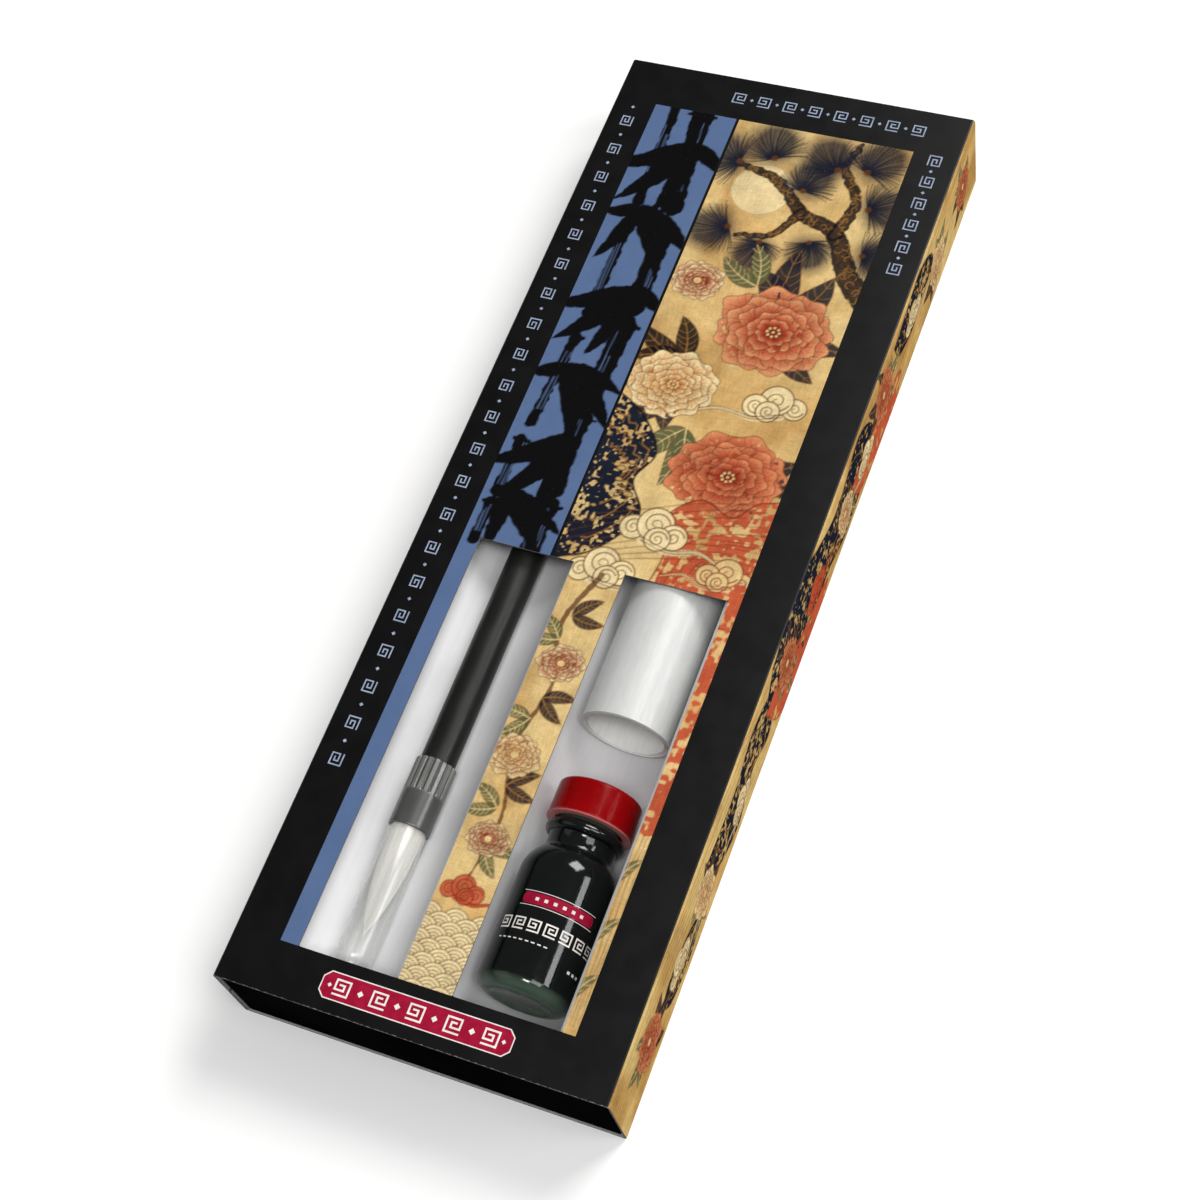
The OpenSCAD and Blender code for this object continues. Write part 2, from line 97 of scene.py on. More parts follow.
def set_camera():
    """Places the camera where the seven corners of the box seen in the photograph put it."""
    ahead, up = np.array([-0.2992, 0.3987, -0.8669]), np.array([-0.2409, 0.8476, 0.4729])
    right = np.cross(ahead, up)
    ahead, right = ahead / np.linalg.norm(ahead), right / np.linalg.norm(right)
    lens = bpy.data.cameras.new("camera")
    lens.sensor_width, lens.lens = 36.0, 64.795
    lens.clip_start, lens.clip_end = 0.01, 20.0
    place = np.array([0.16264, -0.23721, 0.48891])
    bpy.context.scene.camera = put("camera", lens, -ahead, right, place)


set_camera()


# Finishes

class Flow:
    """A socket that can stand in sums, on either side: each operator adds its Math node."""

    def __init__(self, nodes, socket):
        self.nodes, self.socket = nodes, socket

    def __add__(self, other):
        return self.nodes.math("ADD", self, other)

    def __sub__(self, other):
        return self.nodes.math("SUBTRACT", self, other)

    def __rsub__(self, other):
        return self.nodes.math("SUBTRACT", other, self)

    def __mul__(self, other):
        return self.nodes.math("MULTIPLY", self, other)

    def __pow__(self, other):
        return self.nodes.math("POWER", self, other)

    def __rpow__(self, other):
        return self.nodes.math("POWER", other, self)

    __radd__, __rmul__ = __add__, __mul__


class Nodes:
    """The nodes of a material or of the world. A colour given as a tuple is named as the eye names it."""

    def __init__(self, owner):
        owner.use_nodes = True
        self.tree = owner.node_tree

    def give(self, socket, value):
        """Puts a number, a colour or a pattern on a socket."""
        if isinstance(value, Flow):
            self.tree.links.new(value.socket, socket)
        elif socket.type == "RGBA":
            socket.default_value = (*map(float, tone(*value)), 1.0)
        else:
            socket.default_value = value

    def node(self, kind, settings=None, inputs=None, out=0):
        """Adds a node, with its settings first and then the values or patterns on its sockets."""
        made = self.tree.nodes.new(kind)
        for label, value in (settings or {}).items():
            setattr(made, label, value)
        for label, value in (inputs or {}).items():
            self.give(made.inputs[label], value)
        return Flow(self, made.outputs[out])

    def math(self, operation, first, second=0.0):
        """One Math node of two numbers or patterns."""
        return self.node("ShaderNodeMath", {"operation": operation}, {0: first, 1: second})


class Finish(Nodes):
    """A procedural finish: one material, its main shader and the patterns that feed it."""

    def __init__(self, name, **constants):
        self.material = bpy.data.materials.new(name)
        super().__init__(self.material)
        self.shader = self.tree.nodes["Principled BSDF"]
        for label, value in constants.items():
            self.set(label.replace("_", " "), value)

    def set(self, label, value):
        """Gives a socket of the main shader a number, a colour or a pattern."""
        self.give(self.shader.inputs[label], value)

    def mix(self, share, first, second):
        """The first colour, turning to the second as share goes from 0 to 1."""
        return self.node("ShaderNodeMix", {"data_type": "RGBA"}, {0: share, 6: first, 7: second}, 2)

    def place(self, stretch=(1.0, 1.0, 1.0)):
        """Places on the object, in metres, stretched."""
        spot = self.node("ShaderNodeTexCoord", out="Object")
        return self.node("ShaderNodeMapping", None, {"Vector": spot, "Scale": stretch})

    def axis(self, number):
        """One coordinate of the object's own places, in metres: 0 for x, 1 for y, 2 for z."""
        return self.node("ShaderNodeSeparateXYZ", None, {0: self.place()}, number)

    def laid(self, name, out="Fac"):
        """What was worked out for each point of the mesh under this name."""
        return self.node("ShaderNodeAttribute", {"attribute_name": name}, out=out)

    def noise(self, scale, detail=2.0, rough=0.5, stretch=(1.0, 1.0, 1.0)):
        """Cloudy patches from 0 to 1, scale of them to the metre, times stretch along each axis."""
        return self.node("ShaderNodeTexNoise", None, {
            "Vector": self.place(stretch), "Scale": scale, "Detail": detail, "Roughness": rough,
        })

    def rise(self, value, low, high, first=0.0, last=1.0):
        """From first to last as value goes from low to high, and level outside."""
        return self.node(
            "ShaderNodeMapRange", {"interpolation_type": "SMOOTHSTEP"},
            {0: value, 1: low, 2: high, 3: first, 4: last},
        )

    def roughen(self, low, high, scale, detail=2.0):
        """Lets the roughness wander in clouds between two values."""
        self.set("Roughness", self.rise(self.noise(scale, detail), 0.3, 0.7, low, high))

    def bump(self, height, strength, distance):
        """Lets height, in units of distance, raise the surface."""
        self.set("Normal", self.node(
            "ShaderNodeBump", None, {"Strength": strength, "Distance": distance, "Height": height}
        ))


def speckled(name, colour, shift, scale, bump=0.02, **constants):
    """A finish of one colour that drifts to a second one in clouds, with a fine bump."""
    finish = Finish(name, **constants)
    clouds = finish.noise(scale, 4.0, 0.6)
    finish.set("Base Color", finish.mix(finish.rise(clouds, 0.3, 0.7), colour, shift))
    rough = constants["Roughness"]
    finish.roughen(rough - 0.06, rough + 0.06, scale * 2.3)
    finish.bump(finish.noise(scale * 12.0, 3.0), bump, 0.0002)
    return finish


def make_black_card():
    """Laminated black card: near black, with a slow waviness, and pale flecks along the folds and the ends
    that are partly rubbed wear and partly a painted highlight on the edges.
    """
    finish = Finish("black_print_card", Specular_IOR_Level=0.25)
    half_w, half_l, half_h = cad_box[1][0], cad_box[1][1], cad_box[1][2] / 2
    x, y, z = (
        finish.math("ABSOLUTE", place)
        for place in (finish.axis(0), finish.axis(1), finish.axis(2) - half_h)
    )
    fold = finish.rise(x, half_w - 0.0007, half_w) * finish.rise(z, half_h - 0.0007, half_h)
    end = finish.rise(y, half_l - 0.0005, half_l)
    # pale flecks on the folds and at the ends: rubbed wear, and also a painted highlight along the edges
    edge_wear_and_highlight = finish.rise((fold * 1.6 + end) * finish.noise(900.0, 3.0, 0.7), 0.42, 0.62)
    black = finish.mix(finish.noise(22.0, 3.0), (0.002, 0.0025, 0.004), (0.005, 0.005, 0.006))
    finish.set("Base Color", finish.mix(edge_wear_and_highlight * 0.75, black, (0.55, 0.53, 0.5)))
    finish.roughen(0.39, 0.45, 160.0, 3.0)
    finish.bump(finish.noise(14.0) + finish.noise(1500.0) * 0.02, 0.055, 0.0006)
    return finish


def make_print(name, weave, depth):
    """A painted print: the colours laid on the points, under threads of silk and stains of the
    given depth."""
    finish = Finish(name, Specular_IOR_Level=0.0)
    threads = finish.noise(1.0, stretch=(weave, weave / 9, weave))
    weft = finish.noise(1.0, stretch=(weave / 7, weave, weave / 7))
    silk = finish.rise(threads * 0.55 + weft * 0.45, 0.3, 0.7, 1 - 0.14 * depth, 1 + 0.1 * depth)
    clouds = finish.noise(130.0, 8.0, 0.72)
    shade = silk * finish.rise(clouds, 0.25, 0.78, 1 + 0.16 * depth, 1 - 0.24 * depth)
    grey = finish.node("ShaderNodeCombineXYZ", None, {0: shade, 1: shade, 2: shade})
    colour = finish.node(
        "ShaderNodeVectorMath", {"operation": "MULTIPLY"}, {0: finish.laid("laid", "Color"), 1: grey}
    )
    specks = finish.rise(finish.noise(1500.0, 3.0, 0.7), 0.63, 0.72)
    finish.set("Base Color", finish.mix(specks * (0.45 * depth), colour, (0.45, 0.3, 0.16)))
    finish.roughen(0.38, 0.5, 300.0)
    finish.bump(threads * 0.5 + weft * 0.5, 0.06, 0.0002)
    return finish


def make_flat_print(name, colour, shift):
    """Flat printed ink on card, a little uneven."""
    finish = Finish(name, Specular_IOR_Level=0.05)
    patches = finish.rise(finish.noise(420.0, 4.0, 0.7), 0.35, 0.7)
    finish.set("Base Color", finish.mix(patches, colour, shift))
    finish.roughen(0.38, 0.5, 300.0)
    finish.bump(finish.noise(1500.0), 0.05, 0.0001)
    return finish


def make_glass():
    """Dark green glass filled with ink: the tint laid on the points, clear and hard on top."""
    finish = Finish("dark_green_glass", Roughness=0.1, Specular_IOR_Level=0.5)
    mottle = finish.noise(160.0, 1.0)
    deep = finish.mix(mottle, (0.025, 0.037, 0.035), (0.05, 0.066, 0.06))
    light = finish.mix(mottle, (0.19, 0.25, 0.21), (0.34, 0.41, 0.35))
    finish.set("Base Color", finish.mix(finish.laid("thin"), deep, light))
    finish.bump(finish.noise(70.0, 1.0), 0.15, 0.0006)
    return finish


def make_clear(name, colour, alpha, rim, gloss, glance, rough):
    """Clear plastic: a veil in faint streaks along its length, denser towards its edges, under a
    gloss that grows with the fifth power of the slant."""
    finish = Finish(name, Roughness=0.5, Specular_IOR_Level=0.0)
    slant = finish.node("ShaderNodeLayerWeight", None, {"Blend": 0.5}, "Facing")
    streaks = finish.noise(1.0, 3.0, 0.6, (1100.0, 22.0, 1100.0))
    finish.set("Base Color", finish.mix(streaks, colour, tuple(part * 0.9 for part in colour)))
    veil = finish.rise(slant, 0.25, 0.95, alpha, rim) * finish.rise(streaks, 0.3, 0.7, 0.4, 1.6)
    finish.set("Alpha", veil)
    finish.bump(finish.noise(1.0, stretch=(150.0, 15.0, 150.0)), 0.05, 0.0003)
    mirror = finish.node("ShaderNodeBsdfGlossy", None, {"Color": (1.0, 1.0, 1.0), "Roughness": rough})
    whole = finish.node("ShaderNodeMixShader", None, {
        0: slant ** 5.0 * glance + gloss, 1: Flow(finish, finish.shader.outputs[0]), 2: mirror,
    })
    finish.give(finish.tree.nodes["Material Output"].inputs["Surface"], whole)
    return finish


def make_hair():
    """Cream goat hair, each strand a little lighter or darker, warmer near the root."""
    finish = Finish("goat_hair", Roughness=0.36, Specular_IOR_Level=0.75, Sheen_Weight=0.25)
    body = finish.mix(finish.laid("strand"), (0.88, 0.87, 0.83), (1.0, 0.998, 0.985))
    root = finish.rise(finish.laid("along"), 0.0, 0.5, 0.35, 0.0)
    finish.set("Base Color", finish.mix(root, body, (0.82, 0.79, 0.71)))
    finish.bump(finish.noise(1.0, stretch=(9000.0, 500.0, 9000.0)), 0.2, 0.0001)
    return finish


def make_paper(name, colour, shift, **constants):
    """White paper or card: a little fibrous, with slow cockles."""
    finish = Finish(name, **constants)
    fibres = finish.noise(1.0, 3.0, 0.6, (1400.0, 260.0, 1400.0))
    finish.set("Base Color", finish.mix(finish.rise(fibres, 0.3, 0.75), colour, shift))
    finish.bump(fibres * 0.2 + finish.noise(45.0), 0.05, 0.0004)
    return finish


def make_smoky():
    """Smoky clear plastic, a little clouded: a painted highlight makes the ribs pale and painted shade
    darkens the grooves, and it is darker round the socket too."""
    finish = Finish("smoky_plastic", Roughness=0.29, Specular_IOR_Level=1.0, Alpha=0.88)
    clouds = finish.noise(190.0, 3.0)
    dark = finish.mix(clouds, (0.16, 0.165, 0.16), (0.25, 0.255, 0.245))
    pale = finish.mix(clouds, (0.35, 0.355, 0.34), (0.51, 0.515, 0.5))
    # the marked ribs take the pale tone as a painted highlight, and the grooves take the dark tone as
    # painted shade
    finish.set("Base Color", finish.mix(finish.laid("rib"), dark, pale))
    finish.bump(clouds, 0.06, 0.0002)
    return finish


def make_red_cap():
    """Glossy red moulded plastic, deeper in slow clouds, with a paler foot."""
    finish = Finish("red_cap_plastic", Specular_IOR_Level=0.12)
    red = finish.mix(finish.noise(70.0, 3.0), (0.42, 0.006, 0.014), (0.54, 0.012, 0.024))
    finish.set("Base Color", finish.mix(finish.laid("foot"), red, (0.8, 0.5, 0.5)))
    finish.roughen(0.14, 0.24, 400.0)
    finish.bump(finish.noise(500.0), 0.04, 0.0002)
    return finish


BLACK_CARD = make_black_card()
CARD_INSIDE = make_paper("card_inside", (0.5, 0.5, 0.5), (0.58, 0.57, 0.56), Roughness=0.72)
CARD_EDGE = make_paper("card_cut_edge", (0.36, 0.36, 0.365), (0.47, 0.465, 0.46), Roughness=0.72)
END_EDGE = make_paper("card_end_edge", (0.12, 0.12, 0.125), (0.19, 0.19, 0.19), Roughness=0.72)
SILK_PRINT = make_print("painted_silk_print", 2600.0, 1.0)
STRIP_PRINT = make_print("brushed_strip_print", 3400.0, 0.22)
SILVER_INK = make_flat_print("silver_blue_print", (0.5, 0.55, 0.64), (0.6, 0.64, 0.72))
PALE_INK = make_flat_print("pale_print", (0.82, 0.8, 0.78), (0.9, 0.88, 0.86))
CRIMSON_INK = make_flat_print("crimson_print", (0.54, 0.06, 0.17), (0.6, 0.09, 0.21))
FORMED_WHITE = speckled(
    "formed_white_sheet", (0.81, 0.81, 0.815), (0.85, 0.85, 0.855), 40.0, 0.05, Roughness=0.42
)
DRAWER_BLACK = speckled(
    "black_drawer_card", (0.02, 0.02, 0.025), (0.04, 0.04, 0.045), 60.0, 0.1,
    Roughness=0.55, Specular_IOR_Level=0.0,
)
GLASS = make_glass()
INK = speckled("black_ink", (0.015, 0.015, 0.02), (0.03, 0.03, 0.035), 50.0, Roughness=0.15)
RED_CAP = make_red_cap()
LINER = speckled("sealing_disc", (0.88, 0.86, 0.8), (0.95, 0.94, 0.9), 300.0, 0.15, Roughness=0.6)
ROLL_PAPER = make_paper(
    "rolled_white_paper", (0.76, 0.764, 0.756), (0.79, 0.794, 0.784),
    Roughness=0.34, Specular_IOR_Level=0.9,
)
# a paler copy of the roll's paper for its inward faces: painted light that brightens the shaded inside of
# the roll
ROLL_INSIDE_PAINTED_LIGHT = make_paper(
    "rolled_paper_inside_painted_light", (0.93, 0.934, 0.92), (0.96, 0.962, 0.95), Roughness=0.5
)
HANDLE_BLACK = speckled(
    "black_handle", (0.06, 0.06, 0.052), (0.095, 0.093, 0.083), 35.0, 0.04,
    Roughness=0.42, Specular_IOR_Level=0.35,
)
SMOKY = make_smoky()
RESIN = speckled("resin", (0.72, 0.6, 0.36), (0.85, 0.74, 0.5), 500.0, 0.05, Roughness=0.25)
HAIR = make_hair()
CLEAR_GUARD = make_clear("clear_guard", (0.95, 0.955, 0.94), 0.12, 0.42, 0.05, 0.8, 0.27)
FILM = make_clear("window_film", (0.08, 0.085, 0.09), 0.012, 0.1, 0.0, 0.6, 0.16)


# Meshes

def grid_faces(rows, cols, close_rows=False, close_cols=False):
    """Four-sided faces of a grid of rows by cols points, closed round where asked."""
    i = np.arange(rows if close_rows else rows - 1)[:, None]
    j = np.arange(cols if close_cols else cols - 1)[None, :]
    i2, j2 = (i + 1) % rows, (j + 1) % cols
    return np.stack([i * cols + j, i * cols + j2, i2 * cols + j2, i2 * cols + j], -1).reshape(-1, 4)


def skin(rings, close_rows=False, close_cols=False):
    """Points and faces of a skin over rings of equally many points."""
    rings = np.asarray(rings, float)
    return rings.reshape(-1, 3), grid_faces(*rings.shape[:2], close_rows, close_cols)


def level(line, z):
    """A line of (x, y) at one height."""
    return np.column_stack([line, np.full(len(line), z)])


def upright(line, y):
    """A line of (x, z) at one place along the box."""
    return np.stack([line[:, 0], np.full(len(line), y), line[:, 1]], -1)


def around(axis, x, y, z):
    """Places at the distances x and z from an axis along Y, and at y."""
    return np.stack(np.broadcast_arrays(axis[0] + x, y, axis[1] + z), -1)


def turned(profile, axis, start, steps=96, closed=False):
    """A profile of radius and height turned about an axis along Y, with height 0 at start."""
    angle = np.linspace(0.0, 2.0 * math.pi, steps, endpoint=False)
    r, h = np.asarray(profile, float).T[..., None]
    return skin(around(axis, r * np.cos(angle), start + h, r * np.sin(angle)), closed, True)


def joined(*parts):
    """Several sets of points and faces as one."""
    points, faces, count = [], [], 0
    for some, theirs in parts:
        points.append(np.asarray(some, float))
        faces += [[int(i) + count for i in face] for face in theirs]
        count += len(some)
    return np.concatenate(points), faces


def facing_up(points, faces):
    """The points, and the three-sided faces turned so that each looks up."""
    faces = np.array(faces)
    a, b, c = (points[faces[:, k]] for k in range(3))
    down = np.cross(b - a, c - a)[:, 2] <= 0
    faces[down] = faces[down][:, ::-1]
    return points, faces


def make_piece(
    name, points, faces, finishes, body, slot, stands_for=(), weld=True, angle=32.0, kinds=None
):
    """Makes a piece from points in millimetres, and turns its faces outwards where they weld. Kinds
    says which of the finishes each face has, and angle how sharp an edge stays sharp."""
    mesh = bpy.data.meshes.new(name)
    mesh.from_pydata((np.asarray(points) * MM).tolist(), [], [list(face) for face in faces])
    for finish in [finishes] if isinstance(finishes, Finish) else finishes:
        mesh.materials.append(finish.material)
    if kinds is not None:
        mesh.polygons.foreach_set("material_index", np.asarray(kinds, np.int32))
    if weld:
        work = bmesh.new()
        work.from_mesh(mesh)
        bmesh.ops.remove_doubles(work, verts=work.verts, dist=2e-7)
        bmesh.ops.dissolve_degenerate(work, edges=work.edges, dist=1e-7)
        bmesh.ops.recalc_face_normals(work, faces=work.faces)
        work.to_mesh(mesh)
        work.free()
    mesh.polygons.foreach_set("use_smooth", np.ones(len(mesh.polygons), bool))
    mesh.set_sharp_from_angle(angle=math.radians(angle))
    piece = bpy.data.objects.new(name, mesh)
    bpy.context.scene.collection.objects.link(piece)
    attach(piece, body)
    if stands_for:
        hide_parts(*stands_for)
    return piece


def mark(piece, label, values, kind="FLOAT", field="value"):
    """Writes a number or a colour for each point of a piece."""
    values = np.asarray(values, np.float32).ravel()
    piece.data.attributes.new(label, kind, "POINT").data.foreach_set(field, values)


def places(piece, axis):
    """Distance from an axis along Y and place along it, for each point of a piece, in millimetres."""
    flat = np.empty(len(piece.data.vertices) * 3, np.float32)
    piece.data.vertices.foreach_get("co", flat)
    x, y, z = (flat.reshape(-1, 3) / MM).T
    return np.hypot(x - axis[0], z - axis[1]), y


def arc(centre, r, first, last, steps):
    """Points of an arc about centre from the first to the last angle, in degrees."""
    a = np.radians(np.linspace(first, last, steps + 1))
    return np.stack([centre[0] + r * np.cos(a), centre[1] + r * np.sin(a)], -1)


def softened(corners, radii):
    """A line through corners, each rounded by an arc of its radius that touches both sides."""
    corners = [np.asarray(c, float) for c in corners]
    line = [corners[0]]
    for before, corner, after, r in zip(corners, corners[1:], corners[2:], radii):
        if r == 0:
            line.append(corner)
            continue
        a, b = before - corner, after - corner
        a, b = a / np.linalg.norm(a), b / np.linalg.norm(b)
        half = math.acos(float(np.clip(a @ b, -1, 1))) / 2
        centre = corner + (a + b) / np.linalg.norm(a + b) * r / math.sin(half)
        start, end = (corner + way * r / math.tan(half) - centre for way in (a, b))
        turn = math.pi - 2 * half
        for t in np.linspace(0, 1, 6):
            swing = start * math.sin((1 - t) * turn) + end * math.sin(t * turn)
            line.append(centre + swing / math.sin(turn))
    line.append(corners[-1])
    return np.array(line)


def rounded_outline(x0, x1, y0, y1, r, steps=6):
    """Outline of a rectangle with round corners, counter-clockwise."""
    r = min(r, (x1 - x0) / 2, (y1 - y0) / 2)
    return np.concatenate([
        arc((x1 - r, y0 + r), r, -90, 0, steps), arc((x1 - r, y1 - r), r, 0, 90, steps),
        arc((x0 + r, y1 - r), r, 90, 180, steps), arc((x0 + r, y0 + r), r, 180, 270, steps),
    ])


def flat_with_holes(outlines, z):
    """A flat face at height z inside the first outline and outside the others."""
    loops = [level(line, 0.0) for line in outlines]
    return np.concatenate(loops) + (0, 0, z), tessellate_polygon([loop.tolist() for loop in loops])


# Sizes of the card box, from the CAD model's own corners, in millimetres

sleeve_low, sleeve_high = span("sleeve_card")
film_low, film_high = span("window_film")
BOX_W, BOX_L, BOX_H = sleeve_high - sleeve_low
NEAR = sleeve_low[1]
CARD_T = BOX_H - film_high[2]
FOLD_R = 0.9
FLAP_H = 14.0
INK_LIFT = 0.012
FILM_MARGIN = 7.0
BRUSH_WINDOW = (film_low[0] + FILM_MARGIN, film_low[0] + FILM_MARGIN + 25.9)
BOTTLE_WINDOW = (film_high[0] - FILM_MARGIN - 27.3, film_high[0] - FILM_MARGIN)
WINDOWS_Y = (film_low[1] + FILM_MARGIN, film_high[1] - FILM_MARGIN)
WINDOW_R = 0.5
PRINT_FAR = NEAR + 270.5
STRIP_X = (-BOX_W / 2 + 12.2, -BOX_W / 2 + 36.2)
PAINTING_X = (-BOX_W / 2 + 37.0, BOX_W / 2 - 13.0)


# The card sleeve

def wrap_line(depth):
    """The line of the sleeve's section that lies depth under its printed face, in pieces: from the
    cut edge of the left side over the top, the right side and the bottom to the glue flap's edge."""
    w, h, r = BOX_W / 2 - INK_LIFT, BOX_H - INK_LIFT, FOLD_R - depth
    flap_x = -w + CARD_T
    return [
        np.array([[-w + depth, 0.0]]),
        arc((-w + FOLD_R, h - FOLD_R), r, 180, 90, 8),
        arc((w - FOLD_R, h - FOLD_R), r, 90, 0, 8),
        arc((w - FOLD_R, FOLD_R), r, 0, -90, 8),
        arc((flap_x + FOLD_R, FOLD_R), r, -90, -180, 8),
        np.array([[flap_x + depth, FOLD_R + FLAP_H]]),
    ]


def make_sleeve():
    """The wrapped card sleeve: printed and unprinted skins, windows cut through, cut edges."""
    printed, unprinted, window_edge, end_edge = range(4)
    far = NEAR + BOX_L
    parts, kinds = [], []

    def add(part, kind):
        """Takes a part in, with all its faces of one kind."""
        parts.append(part)
        kinds.extend([kind] * len(part[1]))

    lines = []
    for depth, kind in ((0.0, printed), (CARD_T, unprinted)):
        pieces = wrap_line(depth)
        lines.append(np.concatenate(pieces))
        points, faces = skin([upright(lines[-1], y) for y in (NEAR, far)])
        top = len(pieces[0]) + len(pieces[1]) - 1
        add((points, np.delete(faces, top, 0)), kind)
    flat_x, top_z = BOX_W / 2 - INK_LIFT - FOLD_R, BOX_H - INK_LIFT
    corners = np.array([[-flat_x, NEAR], [flat_x, NEAR], [flat_x, far], [-flat_x, far]])
    windows = [
        rounded_outline(*across, *WINDOWS_Y, WINDOW_R) for across in (BRUSH_WINDOW, BOTTLE_WINDOW)
    ]
    add(flat_with_holes([corners, *windows], top_z), printed)
    add(flat_with_holes([corners, *windows], top_z - CARD_T), unprinted)
    for line in windows:
        add(skin([level(line, z) for z in (top_z, top_z - CARD_T)], close_cols=True), window_edge)
    for y in (NEAR, far):
        add(skin([upright(line, y) for line in lines]), end_edge)
    for k in (0, -1):
        (x0, z0), (x1, z1) = lines[0][k], lines[1][k]
        edge = np.array([[x0, NEAR, z0], [x1, NEAR, z1], [x1, far, z1], [x0, far, z0]])
        add((edge, [[0, 1, 2, 3]]), end_edge)
    make_piece(
        "sleeve_wrap", *joined(*parts), [BLACK_CARD, CARD_INSIDE, CARD_EDGE, END_EDGE], "sleeve",
        "sleeve_print", ["sleeve_card"], kinds=kinds, angle=25.0,
    )


make_sleeve()


# Printed panels

PRINT_STEP = 0.31
COARSE_STEP = 0.36
EDGE = 0.34
SQUASH = 0.84
CURL_TURNS = 1.7
STALK_JOINTS = 5

GOLD = tone(0.725, 0.585, 0.365)
PALE_GOLD = tone(0.8, 0.695, 0.48)
DEEP_GOLD = tone(0.57, 0.4, 0.19)
BROWN = tone(0.34, 0.2, 0.1)
BARK = tone(0.27, 0.2, 0.15)
VERMILION = tone(0.68, 0.315, 0.205)
DEEP_RED = tone(0.47, 0.14, 0.1)
CREAM = tone(0.84, 0.765, 0.585)
NAVY = tone(0.1, 0.115, 0.16)
BLUE_BLACK = tone(0.06, 0.065, 0.085)
SLATE_BLUE = tone(0.305, 0.38, 0.515)
PALE_SLATE = tone(0.33, 0.405, 0.54)
PRINT_BLACK = tone(0.055, 0.055, 0.06)
OLIVE = tone(0.33, 0.34, 0.22)
REDS = tone(0.42, 0.1, 0.075), tone(0.62, 0.265, 0.175)
TAWNY = tone(0.52, 0.26, 0.13), tone(0.74, 0.55, 0.34), CREAM


def mottle(u, v, size, seed):
    """Smooth patches of about the given size, from 0 to 1: random numbers on a lattice, blended."""
    lattice = np.random.default_rng(seed).random((64, 64))
    x, y = u / size, v / size
    i, j = np.floor(x).astype(int), np.floor(y).astype(int)
    s, t = x - i, y - j
    s, t = s * s * (3 - 2 * s), t * t * (3 - 2 * t)

    def row(b):
        """The lattice blended across, b steps further along."""
        return lattice[i % 64, (j + b) % 64] * (1 - s) + lattice[(i + 1) % 64, (j + b) % 64] * s

    return row(0) * (1 - t) + row(1) * t


def worn(share, size, seed):
    """How much pigment is left: all of it but for flecks that cover about share of the surface."""
    def left(u, v):
        """Two sizes of patches added up and cut off softly at share."""
        flecks = 0.55 * mottle(u, v, size, seed) + 0.45 * mottle(u, v, size * 2.7, seed + 1)
        return np.clip((flecks - share) / 0.07, 0, 1) * 0.9 + 0.1
    return left


def gaps(spots, a, ab):
    """Distance from each spot to each stretch of a line, from a by ab, and the share of the stretch
    at which it is nearest."""
    t = np.clip(((spots - a) * ab).sum(-1) / np.maximum((ab * ab).sum(-1), 1e-9), 0, 1)
    return np.linalg.norm(spots - a - t[..., None] * ab, axis=-1), t


class Panel:
    """A printed panel: the places of its points in millimetres and the colour laid on each."""

    def __init__(self, across, along, ground):
        self.across, self.along = across, along
        self.u, self.v = np.meshgrid(across, along, indexing="ij")
        self.colour = np.ones(self.u.shape + (3,)) * ground

    def near(self, points, reach):
        """The part of the panel within reach of the points, and its spots."""
        low, high = np.min(points, 0) - reach, np.max(points, 0) + reach
        i = np.searchsorted(self.across, (low[0], high[0]))
        j = np.searchsorted(self.along, (low[1], high[1]))
        part = slice(*i), slice(*j)
        return part, np.stack([self.u[part], self.v[part]], -1)[..., None, :]

    def lay(self, part, distance, colour, strength, soft):
        """Lays a colour where distance is below nought, over a soft edge."""
        u, v = self.u[part], self.v[part]
        colour = colour(u, v) if callable(colour) else colour
        strength = strength(u, v) if callable(strength) else strength
        cover = (strength * np.clip(0.5 - distance / soft, 0, 1))[..., None]
        self.colour[part] += (colour - self.colour[part]) * cover

    def stroke(self, line, width, colour, strength=1.0, soft=EDGE, ragged=0.0):
        """A brush stroke: the distance to the nearest stretch of the line, less half the width there."""
        line = np.asarray(line, float)
        half = np.ones(len(line)) * np.asarray(width) / 2
        part, spots = self.near(line, half.max() + soft + ragged)
        if spots.size:
            gap, t = gaps(spots, line[:-1], np.diff(line, axis=0))
            gap = (gap - (half[:-1] + t * np.diff(half))).min(-1)
            if ragged:
                gap = gap + ragged * (mottle(self.u[part], self.v[part], 1.3, 17) - 0.5) * 2
            self.lay(part, gap, colour, strength, soft)

    def fill(self, outline, colour, strength, rim, rim_width=0.3, rim_strength=0.8):
        """Fills a closed outline, with a rim: the distance to its nearest edge, below nought inside."""
        a = np.asarray(outline, float)
        ab = np.roll(a, -1, 0) - a
        part, spots = self.near(a, EDGE + rim_width)
        if not spots.size:
            return
        gap = gaps(spots, a, ab)[0].min(-1)
        rising = np.where(np.abs(ab[:, 1]) < 1e-9, 1e-9, ab[:, 1])
        crosses = (a[:, 1] > spots[..., 1]) != (np.roll(a, -1, 0)[:, 1] > spots[..., 1])
        left = spots[..., 0] < ab[:, 0] * (spots[..., 1] - a[:, 1]) / rising + a[:, 0]
        gap = np.where((crosses & left).sum(-1) % 2 == 1, -gap, gap)
        self.lay(part, gap, colour, strength, EDGE)
        self.lay(part, np.abs(gap) - rim_width / 2, rim, rim_strength, EDGE)


def placed(points, spot, turn, squash=1.0):
    """Points turned by an angle in degrees about nought, pressed flat by squash and moved to a spot."""
    a = math.radians(turn)
    points = np.asarray(points, float)
    x = points[:, 0] * math.cos(a) - points[:, 1] * math.sin(a)
    y = points[:, 0] * math.sin(a) + points[:, 1] * math.cos(a)
    return np.stack([x, y * squash], -1) + spot


def away(root, facing, length):
    """The place at a length from a root, facing an angle in degrees."""
    a = math.radians(facing)
    return np.asarray(root, float) + length * np.array([math.cos(a), math.sin(a)])


